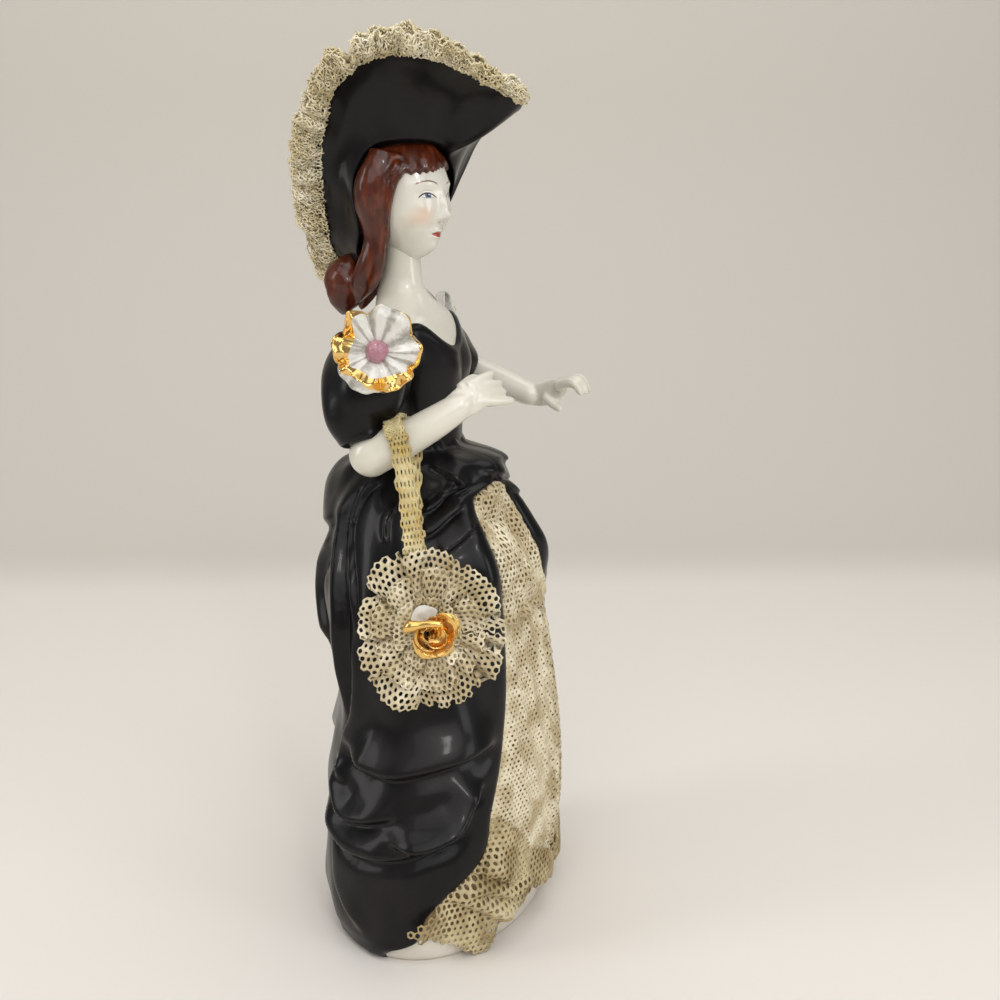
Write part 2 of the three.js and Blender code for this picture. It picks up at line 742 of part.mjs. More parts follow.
function flounce() {
  const made = openingPatch(flounceFoot, flounceTop, (side, height, i) => {
    const droop = 1 - 0.4 * smooth(height, flounceFoot, flounceTop);
    return ruffleWall * droop * (0.8 + 0.35 * (-1) ** i);
  });
  return [-1, 1].reduce((left, way) => {
    const normal = new THREE.Vector3(-way * hemClimb, 0, 1).normalize();
    return left.trimByPlane(normal.toArray(), (flounceFoot - hemClimb * hemClimbFrom) * unit * normal.z);
  }, made);
}

// A round gathered piece on a plane, from rows of share of the radius, height as a share of the
// depth, size of the ruffle and which of two phases it has. The first row is the back.
function gathered({ centre, facing, half, depth, lobes, rows }, proud = 0) {
  const n = facing.clone().normalize();
  const across = new THREE.Vector3(0, 0, 1).cross(n).normalize();
  const rise = new THREE.Vector3().crossVectors(n, across);
  const sides = lobes * 3;
  const shares = rows.map(([share]) => share);
  const rimRow = shares.indexOf(Math.max(...shares));
  const rings = rows.map(([share, height, ruffle, phase], k) =>
    Array.from({ length: sides }, (_, i) => {
      const turn = (2 * Math.PI * i) / sides;
      const wave = Math.cos(lobes * turn + phase);
      const grow = share * (1 + 0.35 * ruffle * wave) + (proud * share) / half[0];
      const lift = depth * (height + ruffle * wave) + (k < rimRow ? -proud : proud);
      return centre
        .clone()
        .addScaledVector(across, half[0] * grow * Math.cos(turn))
        .addScaledVector(rise, half[1] * grow * Math.sin(turn))
        .addScaledVector(n, lift);
    }),
  );
  return loft(rings);
}

// Net bag: a flat rosette of two gathered layers with a knot behind, at her right hip.
const bag = {
  centre: at(-39.4, -10.8, 92.4),
  facing: new THREE.Vector3(-0.955, -0.28, 0.1),
  half: [bagHalfWidth, bagHalfHeight],
  depth: bagDepth,
  lobes: 8,
  rows: [
    [0.12, -1, 0, 0],
    [0.26, -0.35, 0, 0],
    [0.94, -0.12, 0.2, 0],
    [0.99, 0.16, 0.2, 0],
    [0.64, 0.3, 0.1, 0.4],
    [0.6, 0.62, 0.14, 1.6],
    [0.2, 0.3, 0, 0],
  ],
};
const rose = {
  centre: bag.centre.clone().addScaledVector(bag.facing.clone().normalize(), bagDepth * 0.3 + seatGap),
  facing: bag.facing,
  half: [roseRadius, roseRadius],
  depth: roseDepth,
  lobes: 5,
  rows: [
    [0.5, 0, 0, 0],
    [0.96, 0.4, 0.06, 0],
    [1, 0.72, 0.12, 0],
    [0.72, 0.52, 0.05, 0.8],
    [0.62, 1, 0.1, 1.6],
    [0.36, 0.7, 0.05, 2.4],
    [0.26, 1.1, 0.05, 3.2],
  ],
};

// Flowers on the shoulders: six ruffled petals round a boss.
const petals = [
  [0.2, -0.7, 0, 0],
  [0.92, 0.4, 0.2, 0],
  [1, 0.82, 0.3, 0],
  [0.68, 0.5, 0.14, 0],
  [0.34, 0.22, 0, 0],
  [0.24, 0.62, 0, 0],
  [0.1, 0.78, 0, 0],
];
const flower = (centre, facing) => ({
  centre,
  facing,
  half: [flowerRadius * 0.93, flowerRadius],
  depth: flowerDepth,
  lobes: 6,
  rows: petals,
});
const flowers = {
  right: flower(at(-35.4, 4, 161.2), new THREE.Vector3(-0.9, -0.36, 0.24)),
  left: flower(at(36.4, 13.4, 161.8), new THREE.Vector3(0.8, 0.15, 0.58)),
};

// Strap of the bag: a ribbon of net over the right forearm, with both ends at the bag's top.
const strapPlace = 0.2; // share of the way from one row of the arm to the next
const strapFoot = { inward: 1.6, back: 4, rise: 0.93 }; // from the bag's middle, rise in half heights
const strapBelly = 0.4; // share of the way up where the runs hang furthest apart
function strap() {
  const rows = arms.right.arm;
  const middle = at(...rows[1].slice(0, 3)).lerp(at(...rows[2].slice(0, 3)), strapPlace);
  const way = at(...rows[2].slice(0, 3)).sub(at(...rows[0].slice(0, 3))).normalize();
  const outer = new THREE.Vector3(-1, 0, 0);
  outer.addScaledVector(way, -outer.dot(way)).normalize();
  const top = new THREE.Vector3().crossVectors(way, outer);
  if (top.z < 0) top.negate();
  const clear = rows[1][3] * unit + seatGap + strapSlack + strapThickness / 2;
  const foot = bag.centre.clone().add(at(strapFoot.inward, strapFoot.back, 0));
  foot.z += bagHalfHeight * strapFoot.rise;
  const apart = (strapThickness + strapSplit) / 2;
  const belly = foot.clone().lerp(middle, strapBelly);
  const points = [];
  points.push(foot.clone().addScaledVector(outer, apart));
  points.push(belly.clone().addScaledVector(outer, apart * 3));
  for (const turn of [95, 60, 30, 0, -30, -60, -95]) {
    const a = radians(turn);
    const p = middle.clone().addScaledVector(outer, clear * Math.sin(a));
    points.push(p.addScaledVector(top, clear * Math.cos(a)));
  }
  points.push(belly.clone().addScaledVector(outer, -apart * 3));
  points.push(foot.clone().addScaledVector(outer, -apart));
  const curve = new THREE.CatmullRomCurve3(points, false, "centripetal");
  const steps = 28;
  const rings = [];
  for (let j = 0; j <= steps; j += 1) {
    const forward = curve.getTangent(j / steps);
    const side = way.clone().addScaledVector(forward, -way.dot(forward)).normalize();
    const out = new THREE.Vector3().crossVectors(forward, side);
    const corner = ([w, h]) =>
      curve
        .getPoint(j / steps)
        .addScaledVector(side, (w * strapWidth) / 2)
        .addScaledVector(out, (h * strapThickness) / 2);
    rings.push([[-1, -1], [1, -1], [1, 1], [-1, 1]].map(corner));
  }
  return loft(rings);
}

const colours = {
  glaze: { color: 0x17161a, roughness: 0.12, metalness: 0 },
  skin: { color: 0xe9e6dc, roughness: 0.15, metalness: 0 },
  net: { color: 0xbfae86, roughness: 0.6, metalness: 0 },
  gilt: { color: 0xc99534, roughness: 0.2, metalness: 1 },
};

// A named mesh from a solid.
function piece(name, solid, colour) {
  const { vertProperties, triVerts, numProp } = mainBody(solid).getMesh();
  const geometry = new THREE.BufferGeometry();
  if (numProp !== 3) throw new Error(`${name} carries more than positions`);
  geometry.setAttribute("position", new THREE.BufferAttribute(vertProperties, 3));
  geometry.setIndex(new THREE.BufferAttribute(triVerts, 1));
  geometry.computeVertexNormals();
  const mesh = new THREE.Mesh(geometry, new THREE.MeshStandardMaterial(colours[colour]));
  mesh.name = name;
  return mesh;
}

// Each applied piece is cut by what it is fixed to, grown by the seat gap.
const figureGrown = figure(seatGap);
const bagGrown = gathered(bag, seatGap);
const rightArm = forearm(arms.right, 0).subtract(figureGrown);
const leftArm = forearm(arms.left, 0).subtract(figureGrown);
const armGrown = forearm(arms.right, seatGap);

const lady = new THREE.Group();
lady.add(piece("figure", figure(0), "glaze"));
lady.add(piece("right_forearm", rightArm, "skin"));
lady.add(piece("left_forearm", leftArm, "skin"));
lady.add(piece("hat", hat(0).subtract(figureGrown), "glaze"));
lady.add(piece("hat_net_trim", hatTrim().subtract(hat(seatGap)).subtract(figureGrown), "net"));
lady.add(piece("front_net_panel", frontPanel(), "net"));
lady.add(piece("net_jabot", jabot(), "net"));
lady.add(piece("hem_net_flounce", flounce(), "net"));
lady.add(piece("net_bag", gathered(bag).subtract(figureGrown), "net"));
lady.add(piece("bag_strap", strap().subtract(bagGrown).subtract(figureGrown).subtract(armGrown), "net"));
lady.add(piece("bag_rose", gathered(rose), "gilt"));
lady.add(piece("right_shoulder_flower", gathered(flowers.right).subtract(figureGrown), "gilt"));
lady.add(piece("left_shoulder_flower", gathered(flowers.left).subtract(figureGrown), "gilt"));

export default lady;
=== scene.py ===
import bpy
import numpy as np
from mathutils import Matrix, Vector


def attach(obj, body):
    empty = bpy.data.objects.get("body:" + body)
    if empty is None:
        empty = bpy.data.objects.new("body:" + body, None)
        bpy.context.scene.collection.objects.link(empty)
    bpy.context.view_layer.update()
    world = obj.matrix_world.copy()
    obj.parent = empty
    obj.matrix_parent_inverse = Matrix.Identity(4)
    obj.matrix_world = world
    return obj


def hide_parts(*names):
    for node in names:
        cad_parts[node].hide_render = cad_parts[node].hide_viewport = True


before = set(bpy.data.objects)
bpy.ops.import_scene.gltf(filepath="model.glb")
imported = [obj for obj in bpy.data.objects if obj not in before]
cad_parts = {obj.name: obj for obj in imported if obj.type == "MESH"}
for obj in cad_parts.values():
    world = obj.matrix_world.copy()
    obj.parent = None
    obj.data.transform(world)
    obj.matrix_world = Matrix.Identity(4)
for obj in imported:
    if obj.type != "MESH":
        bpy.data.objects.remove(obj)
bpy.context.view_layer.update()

MM = 0.001
SEAT = 0.3  # hairline between a piece and what it is fixed to
TURN = 2 * np.pi
UP = np.array([0, 0, 1.0])


# Numbers and curves

def smooth(x, low, high):
    """Smoothstep: 0 below low, 1 above high and 3t^2 - 2t^3 between."""
    t = np.clip((np.asarray(x, float) - low) / (high - low), 0, 1)
    return t * t * (3 - 2 * t)


def bell(x):
    """A round bump: exp(-x^2)."""
    return np.exp(-np.square(x))


def along(rows, column, position):
    """A column of rows that start with their position, on cubic Hermite pieces with centred slopes."""
    table = np.array(rows, float)
    x, y = table[:, 0], table[:, column]
    slope = np.empty_like(y)
    slope[1:-1] = (y[2:] - y[:-2]) / (x[2:] - x[:-2])
    slope[0] = (y[1] - y[0]) / (x[1] - x[0])
    slope[-1] = (y[-1] - y[-2]) / (x[-1] - x[-2])
    p = np.clip(position, x[0], x[-1])
    i = np.clip(np.searchsorted(x, p, side="right") - 1, 0, len(x) - 2)
    span = x[i + 1] - x[i]
    t = (p - x[i]) / span
    t2, t3 = t * t, t * t * t
    return (
        (2 * t3 - 3 * t2 + 1) * y[i]
        + (t3 - 2 * t2 + t) * span * slope[i]
        + (3 * t2 - 2 * t3) * y[i + 1]
        + (t3 - t2) * span * slope[i + 1]
    )


def curve(points, t, closed=False):
    """Catmull-Rom curve through points of any dimension, at shares t of its spans from 0 to 1."""
    p = np.array(points, float)
    count = len(p) if closed else len(p) - 1
    s = np.asarray(t, float) * count
    i = np.clip(np.floor(s).astype(int), 0, count - 1)
    f = (s - i)[..., None]
    if closed:
        a, b, c, d = (p[(i + k) % len(p)] for k in (-1, 0, 1, 2))
    else:
        padded = np.vstack([2 * p[0] - p[1], p, 2 * p[-1] - p[-2]])
        a, b, c, d = (padded[i + k] for k in (0, 1, 2, 3))
    bend = 2 * a - 5 * b + 4 * c - d
    twist = 3 * b - a - 3 * c + d
    return 0.5 * (2 * b + (c - a) * f + bend * f**2 + twist * f**3)


def unit(v):
    """Vectors scaled to a length of 1."""
    return v / np.maximum(np.linalg.norm(v, axis=-1, keepdims=True), 1e-9)


def framed(axes, a, b, c):
    """The points at distances a, b and c along three axes."""
    across, rise, out = axes
    return across * a[..., None] + rise * b[..., None] + out * c[..., None]


def axes_round(facing):
    """Three axes square to each other: level across, up the face, and the facing itself."""
    facing = unit(np.array(facing))
    across = unit(np.cross(UP, facing))
    return across, np.cross(facing, across), facing


def past(degrees, place):
    """How far an angle lies past a place, from -180 to 180 degrees."""
    return (degrees - place + 180) % 360 - 180


def wander(*coordinates, seed=0, octaves=3):
    """Smooth noise from about -1 to 1: a sum of sines along random directions, finer by octave."""
    dice = np.random.default_rng(seed)
    total = 0
    for octave in range(octaves):
        for _ in range(4):
            way = dice.normal(size=len(coordinates)) * 1.9**octave
            phase = dice.uniform(0, TURN)
            total = total + np.sin(sum(w * c for w, c in zip(way, coordinates)) + phase) / 1.8**octave
    return total / 4


# Meshes

def grid_quads(rows, columns, closed=True):
    """Quads of a grid of rows of points; closed joins each row's last point to its first."""
    j = np.arange(rows - 1)[:, None]
    i = np.arange(columns if closed else columns - 1)[None, :]
    k = (i + 1) % columns
    near, far = j * columns, (j + 1) * columns
    return np.stack([near + i, near + k, far + k, far + i], -1).reshape(-1, 4)


def volume(points, faces):
    """The volume inside a closed shell, negative where its faces point inwards."""
    total = 0
    for block in faces:
        a = points[block[:, 0]]
        for k in range(1, block.shape[1] - 1):
            total += np.einsum("ij,ij->i", a, np.cross(points[block[:, k]], points[block[:, k + 1]])).sum()
    return total / 6


def facing_out(points, faces):
    """The same shell, turned round if its faces point inwards."""
    if volume(points, faces) < 0:
        faces = [block[:, ::-1] for block in faces]
    return points, faces


def loft(rings):
    """A closed shell through closed rings of points, with a fan to the middle of each end."""
    rows, columns = rings.shape[:2]
    points = rings.reshape(-1, 3)
    ends = np.stack([rings[0].mean(0), rings[-1].mean(0)])
    i = np.arange(columns)
    k = (i + 1) % columns
    last = (rows - 1) * columns
    near = np.stack([k, i, np.full(columns, len(points))], -1)
    far = np.stack([last + i, last + k, np.full(columns, len(points) + 1)], -1)
    return facing_out(np.vstack([points, ends]), [grid_quads(rows, columns), near, far])


def ring_band(rings):
    """A closed shell through rings whose last meets the first again, like a tyre."""
    rows, columns = rings.shape[:2]
    looped = grid_quads(rows + 1, columns) % (rows * columns)
    return facing_out(rings.reshape(-1, 3), [looped])


def slab(face, back):
    """A closed shell between two open grids of points that share their shape."""
    rows, columns = face.shape[:2]
    far = rows * columns
    top = grid_quads(rows, columns, closed=False)
    rim = np.concatenate([
        np.arange(columns - 1),
        np.arange(rows - 1) * columns + columns - 1,
        far - 1 - np.arange(columns - 1),
        (rows - 1 - np.arange(rows - 1)) * columns,
    ])
    after = np.roll(rim, -1)
    side = np.stack([rim, rim + far, after + far, after], -1)
    return facing_out(np.vstack([face.reshape(-1, 3), back.reshape(-1, 3)]), [top, top[:, ::-1] + far, side])


def joined(shells):
    """Several shells as one list of points and faces."""
    points, faces, start = [], [], 0
    for p, blocks in shells:
        points.append(p)
        faces += [block + start for block in blocks]
        start += len(p)
    return np.vstack(points), faces


def mesh_of(name, shell):
    """A Blender mesh in metres from points in millimetres."""
    points, faces = shell
    corners = np.concatenate([block.ravel() for block in faces])
    sizes = np.concatenate([np.full(len(block), block.shape[1]) for block in faces])
    mesh = bpy.data.meshes.new(name)
    mesh.vertices.add(len(points))
    mesh.vertices.foreach_set("co", (points * MM).astype(np.float32).ravel())
    mesh.loops.add(len(corners))
    mesh.loops.foreach_set("vertex_index", corners.astype(np.int32))
    mesh.polygons.add(len(sizes))
    mesh.polygons.foreach_set("loop_start", np.concatenate([[0], sizes.cumsum()[:-1]]).astype(np.int32))
    mesh.update(calc_edges=True)
    mesh.validate()
    mesh.shade_smooth()
    return mesh


def piece(name, shell, finish, nodes, notes=None):
    """One visible piece: its mesh and finish, fixed to the root body, and the plain solids that it stands
    for, which it hides.
    Notes are attributes of its points, such as a place on the face."""
    mesh = shell if isinstance(shell, bpy.types.Mesh) else mesh_of(name, shell)
    for key, values in (notes or {}).items():
        values = np.asarray(values, np.float32)
        kind, field = ("FLOAT_VECTOR", "vector") if values.ndim == 2 else ("FLOAT", "value")
        mesh.attributes.new(key, kind, "POINT").data.foreach_set(field, values.ravel())
    mesh.materials.append(finish)
    made = bpy.data.objects.new(name, mesh)
    bpy.context.scene.collection.objects.link(made)
    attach(made, "root")
    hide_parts(*nodes)


def carried(name, shell):
    """A scratch object that carries a shell while its modifiers are made."""
    carrier = bpy.data.objects.new(name, mesh_of(name, shell))
    bpy.context.scene.collection.objects.link(carrier)
    return carrier


def applied(carrier):
    """The mesh of a scratch object with its modifiers applied; the object goes."""
    evaluated = carrier.evaluated_get(bpy.context.evaluated_depsgraph_get())
    made = bpy.data.meshes.new_from_object(evaluated)
    bpy.data.objects.remove(carrier)
    made.shade_smooth()
    return made


def fused(name, shells, voxel, smoothing):
    """Overlapping shells fused on a grid of voxels, then smoothed a number of times."""
    carrier = carried(name, joined(shells))
    remesh = carrier.modifiers.new("remesh", "REMESH")
    remesh.mode = "VOXEL"
    remesh.voxel_size = voxel * MM
    soften = carrier.modifiers.new("smooth", "SMOOTH")
    soften.factor = 0.5
    soften.iterations = smoothing
    made = applied(carrier)
    made.name = name
    return made


def shell_of(mesh):
    """The points of a mesh in millimetres, and its faces in a block for each number of corners."""
    co = np.empty(len(mesh.vertices) * 3, np.float32)
    starts = np.empty(len(mesh.polygons), np.int32)
    sizes = np.empty(len(mesh.polygons), np.int32)
    corners = np.empty(len(mesh.loops), np.int32)
    mesh.vertices.foreach_get("co", co)
    mesh.polygons.foreach_get("loop_start", starts)
    mesh.polygons.foreach_get("loop_total", sizes)
    mesh.loops.foreach_get("vertex_index", corners)
    faces = [corners[starts[sizes == size][:, None] + np.arange(size)] for size in np.unique(sizes)]
    return co.reshape(-1, 3) / MM, faces


# Shader maths

class Number:
    """A socket that carries a number; arithmetic on it adds Math nodes to its finish."""

    def __init__(self, finish, socket):
        self.finish = finish
        self.socket = socket

    def math(self, operation, *others):
        """The number that a Math node makes of this one and the others."""
        made = self.finish.node("ShaderNodeMath", {"operation": operation}, dict(enumerate([self, *others])))
        return Number(self.finish, made.outputs[0])

    def flipped(self, operation, other):
        """The same with the other number first."""
        made = self.finish.node("ShaderNodeMath", {"operation": operation}, {0: other, 1: self})
        return Number(self.finish, made.outputs[0])

    def __add__(self, other):
        return self.math("ADD", other)

    def __sub__(self, other):
        return self.math("SUBTRACT", other)

    def __mul__(self, other):
        return self.math("MULTIPLY", other)

    def __truediv__(self, other):
        return self.math("DIVIDE", other)

    def __pow__(self, other):
        return self.math("POWER", other)

    def __radd__(self, other):
        return self.flipped("ADD", other)

    def __rsub__(self, other):
        return self.flipped("SUBTRACT", other)

    def __rmul__(self, other):
        return self.flipped("MULTIPLY", other)

    def __abs__(self):
        return self.math("ABSOLUTE")

    def least(self, other):
        return self.math("MINIMUM", other)

    def most(self, other):
        return self.math("MAXIMUM", other)

    def over(self, low, high):
        """Smoothly 0 below low and 1 above high."""
        ends = {"Value": self, "From Min": low, "From Max": high}
        made = self.finish.node("ShaderNodeMapRange", {"interpolation_type": "SMOOTHSTEP"}, ends)
        return Number(self.finish, made.outputs[0])

    def under(self, low, high):
        """Smoothly 1 below low and 0 above high."""
        return 1 - self.over(low, high)


class Finish:
    """A procedural material round one Principled shader."""

    def __init__(self, name, **shader):
        self.material = bpy.data.materials.new(name)
        self.material.use_nodes = True
        self.tree = self.material.node_tree
        self.tree.nodes.clear()
        self.shader = self.node("ShaderNodeBsdfPrincipled", {}, shader)
        self.node("ShaderNodeOutputMaterial", {}, {"Surface": self.shader.outputs[0]})
        self.place = self.node("ShaderNodeTexCoord").outputs["Object"]

    def node(self, kind, settings=None, inputs=None):
        """A node with its settings made first, then the values or links of its sockets."""
        made = self.tree.nodes.new(kind)
        for key, value in (settings or {}).items():
            setattr(made, key, value)
        for key, value in (inputs or {}).items():
            self.feed(made.inputs[key], value)
        return made

    def feed(self, socket, value):
        """A socket's link, where the value comes from a node, or else its own value or colour code."""
        if isinstance(value, Number):
            value = value.socket
        if isinstance(value, bpy.types.NodeSocket):
            self.tree.links.new(value, socket)
        elif isinstance(value, str):
            socket.default_value = (*linear(value), 1)
        else:
            socket.default_value = value

    def noise(self, scale, detail=3, stretch=(1, 1, 1), rough=0.55):
        """Noise from 0 to 1 in metres of the piece, stretched by scaling its coordinates."""
        place = self.node("ShaderNodeMapping", {}, {"Vector": self.place, "Scale": stretch}).outputs[0]
        wanted = {"Vector": place, "Scale": scale, "Detail": detail, "Roughness": rough}
        return Number(self, self.node("ShaderNodeTexNoise", {}, wanted).outputs[0])

    def note(self, name, kind="Fac"):
        """An attribute of the piece's points."""
        made = self.node("ShaderNodeAttribute", {"attribute_name": name})
        return Number(self, made.outputs[kind])

    def parts(self, vector):
        """The x, y and z of a vector."""
        made = self.node("ShaderNodeSeparateXYZ", {}, {0: vector})
        return [Number(self, socket) for socket in made.outputs]

    def mix(self, factor, first, second):
        """A colour between two by a factor."""
        made = self.node("ShaderNodeMix", {"data_type": "RGBA"}, {0: factor, 6: first, 7: second})
        return made.outputs[2]

    def cloudy(self, scale, detail, first, second, high=0.7):
        """A colour that drifts between two in clouds."""
        return self.mix(self.noise(scale, detail).over(0.35, high), first, second)

    def bump(self, height, strength, distance):
        """Relief on the shader's normal, distance in metres."""
        wanted = {"Height": height, "Strength": strength, "Distance": distance}
        self.set("Normal", self.node("ShaderNodeBump", {}, wanted).outputs[0])

    def set(self, socket, value):
        """One of the shader's own inputs."""
        self.feed(self.shader.inputs[socket], value)


def linear(code):
    """A linear colour from a six-digit sRGB code."""
    c = np.array([int(code[i : i + 2], 16) for i in (0, 2, 4)]) / 255
    return tuple(float(v) for v in np.where(c < 0.04045, c / 12.92, ((c + 0.055) / 1.055) ** 2.4))


# Finishes

def glazed(name, roughness, coat, coat_roughness, **others):
    """A finish with a coat of clear glaze."""
    coated = {"Coat Weight": coat, "Coat Roughness": coat_roughness}
    return Finish(name, Roughness=roughness, **coated, **others)


def black_glaze():
    """Black overglaze laid on with a wide brush: it thins to a warm grey in streaks."""
    made = glazed("black_glaze", 0.3, 0.24, 0.1, **{"Specular IOR Level": 0.2, "Coat IOR": 1.35})
    streaks = made.noise(60, 5, (1, 1, 0.35))
    cloud = made.noise(24, 3)
    thin = (streaks.over(0.45, 0.8) * 0.55 + cloud.over(0.45, 0.8) * 0.55).least(1)
    made.set("Base Color", made.mix(thin, "080708", "1e1a19"))
    made.set("Roughness", 0.3 + thin * 0.2)
    made.bump(made.noise(150, 3) + made.noise(900, 2) * 0.06, 0.3, 0.0005)
    return made.material


def white_glaze():
    """White porcelain under clear glaze, faintly green where the glaze pools."""
    made = glazed("white_glaze", 0.22, 0.6, 0.05)
    made.set("Base Color", made.cloudy(40, 4, "d9d6c6", "e9e4d7"))
    made.bump(made.noise(250, 3), 0.12, 0.0003)
    return made.material


NET_SHADE_FOOT = (0.006, 0.009)  # heights over which the painted shade behind the net begins, in metres


def underskirt_glaze():
    """The underskirt: white at the foot, and above it a warm tan behind the net, painted shade of the net's
    holes.
    """
    made = glazed("underskirt_glaze", 0.3, 0.4, 0.08)
    height = made.parts(made.place)[2]
    # painted shade: the tan above the foot stands in for the shadow in the net's holes
    shade_behind_net = made.cloudy(50, 4, "8d7650", "b49d72")
    foot = made.cloudy(50, 4, "d8d1c4", "e9e4d9")
    made.set("Base Color", made.mix(height.over(*NET_SHADE_FOOT), foot, shade_behind_net))
    made.bump(made.noise(220, 3), 0.2, 0.0003)
    return made.material


def hair_glaze():
    """Auburn glaze brushed down the locks, thin in streaks and patches."""
    made = glazed("hair_glaze", 0.3, 0.45, 0.07, **{"Specular IOR Level": 0.25})
    streaks = made.noise(420, 4, (1, 1, 0.25))
    patches = made.noise(75, 3)
    thin = (streaks.over(0.45, 0.72) * 0.6 + patches.over(0.45, 0.7) * 0.4).least(1)
    made.set("Base Color", made.mix(thin, "411809", "763416"))
    made.bump(streaks * 0.8 + patches, 0.35, 0.0006)
    return made.material


def net_finish(name, dark, light, gold, lustre):
    """Fired net: slip over cotton, grainy and dark to light in clouds, with glints of gold lustre."""
    made = Finish(name)
    slip = made.cloudy(120, 3, dark, light, high=0.68)
    glint = made.noise(700, 2).over(0.52, 0.62) * lustre
    made.set("Base Color", made.mix(glint, slip, gold))
    made.set("Metallic", glint * 0.7)
    made.set("Roughness", 0.68 - glint * 0.35)
    made.bump(made.noise(1500, 3), 0.6, 0.0003)
    return made.material


def petal_finish():
    """Pearly petals: grey painted shade in the flutes of the heart, white outside, gilt at the lip, a pink
    boss.
    """
    made = glazed("petal_glaze", 0.2, 0.8, 0.05)
    brushed = made.note("rim") + (made.noise(330, 3) - 0.5) * 0.5
    gilt = brushed.over(0.5, 0.62)
    # painted shade: grey where the flute note and the noise are high
    flute = (made.note("flute") * 0.55 + made.noise(700, 3) * 0.5).over(0.5, 0.85)
    pearl_and_flute_shade = made.mix(flute, "e6e5de", "a5a196")
    heart = made.mix(made.note("boss"), pearl_and_flute_shade, "ad7683")
    made.set("Base Color", made.mix(gilt, heart, "efc573"))
    made.set("Metallic", gilt)
    made.set("Roughness", 0.2 - gilt * 0.04)
    made.bump(made.noise(260, 2), 0.15, 0.0003)
    return made.material


def gilt_finish():
    """Bright gold over petals: mauve and not metallic in patches in the hollows, and a plain white one."""
    made = Finish("rose_gilt")
    mauve_in_hollows = made.note("hollow") * made.noise(500, 3).over(0.42, 0.66)
    plain = made.note("plain")
    gold = made.mix(mauve_in_hollows, "f2c877", "7d5358")
    made.set("Base Color", made.mix(plain, gold, "e4e4df"))
    made.set("Metallic", 1 - mauve_in_hollows.most(plain))
    made.set("Roughness", 0.16 + made.noise(300, 2) * 0.1)
    made.bump(made.noise(600, 3), 0.2, 0.0003)
    return made.material


# Places of the painted features, in millimetres to the side of and above the middle of the head.
EYE_SIDE, EYE_UP, EYE_HALF, EYE_TALL = 4.3, 0.4, 1.9, 0.85
BROW_UP, BROW_ARCH, BROW_HALF = 3.5, 0.8, 2.6
MOUTH_UP, MOUTH_HALF, MOUTH_NOTCH = -9.2, 2.1, 0.7
CHEEK_SIDE, CHEEK_UP = 5.6, -4.6
NOSTRIL_SIDE, NOSTRIL_UP = 0.95, -6.3


def ellipse(x, y, half_x, half_y):
    """Distance from a place, 1 on an ellipse round it."""
    return ((x / half_x) ** 2 + (y / half_y) ** 2) ** 0.5


def eye_paint(side, up):
    """How much paint of each colour the eye has: white, iris, pupil and a glint that is a painted highlight,
    between two lids that are parabolas, then the lashes along them and the crease above."""
    x, y = side - EYE_SIDE, up - EYE_UP
    across = x / EYE_HALF
    arch = 1 - across * across
    over_lid = up - (EYE_UP + EYE_TALL * arch)
    over_low_lid = up - (EYE_UP - 0.55 * EYE_TALL * arch)
    within = abs(across).under(0.92, 1.02)
    opened = over_low_lid.over(0, 0.12) * (0 - over_lid).over(0, 0.12) * within
    iris = ellipse(x, y - 0.12, 0.82, 0.82).under(0.88, 1.0) * opened
    pupil = ellipse(x, y - 0.12, 0.4, 0.42).under(0.8, 1.0) * opened
    # painted highlight: a small white glint in each eye
    glint = ellipse(x + 0.25, y - 0.42, 0.16, 0.16).under(0.8, 1.0)
    lash = abs(over_lid).under(0.14, 0.26) * abs(across).under(1.05, 1.3)
    low_lash = abs(over_low_lid).under(0.04, 0.12) * abs(across).under(0.7, 1.0) * 0.6
    crease = abs(over_lid - 0.75).under(0.05, 0.16) * abs(across).under(0.6, 1.1) * 0.5
    return [
        (opened, "f1f0ec"),
        (iris, "5c7086"),
        (pupil, "15110f"),
        (glint, "ffffff"),
        (lash.most(low_lash), "2a1a14"),
        (crease, "b48c74"),
    ]


def brow_paint(side, up):
    """An arched brow."""
    across = (side - EYE_SIDE - 0.2) / BROW_HALF
    brow = BROW_UP + BROW_ARCH * (1 - across * across)
    return [(abs(up - brow).under(0.1, 0.3) * abs(across).under(0.85, 1.1) * 0.85, "7a4128")]


def mouth_paint(side, up):
    """Lips between a bow with a notch in its middle and a bowl, and the line where they part."""
    across = side / MOUTH_HALF
    arch = 1 - across * across
    notch = (1 - (side / MOUTH_NOTCH).least(1)) ** 2
    bow = MOUTH_UP + 0.75 * arch - 0.28 * notch
    bowl = MOUTH_UP - 0.95 * arch
    lips = (bow - up).over(0, 0.14) * (up - bowl).over(0, 0.14) * across.under(0.9, 1.0)
    parting = abs(up - MOUTH_UP - 0.02).under(0.03, 0.14) * lips
    return [(lips, "b23a24"), (parting, "611a12")]


def face_paint():
    """White glaze with painted cheeks, eyes, brows, lips and nostrils, placed by each point's place on
    the face: to the side, up and forward of the middle of the head, in millimetres."""
    made = glazed("face_paint", 0.22, 0.7, 0.05)
    right, up, forward = made.parts(made.note("face", "Vector"))
    side = abs(right)
    front = forward.over(2, 4)
    cheek = ellipse(side - CHEEK_SIDE, up - CHEEK_UP, 3.6, 3.4).under(0.1, 1.15) * 0.5
    nostril = ellipse(side - NOSTRIL_SIDE, up - NOSTRIL_UP, 0.36, 0.22).under(0.7, 1.1) * 0.5
    skin = made.cloudy(90, 3, "dcd9cc", "e9e6da")
    paints = [(cheek, "e3b394"), *eye_paint(side, up), *brow_paint(side, up), *mouth_paint(side, up)]
    for amount, colour in [*paints, (nostril, "a5634c")]:
        skin = made.mix(amount * front, skin, colour)
    made.set("Base Color", skin)
    made.bump(made.noise(250, 3), 0.08, 0.0002)
    return made.material


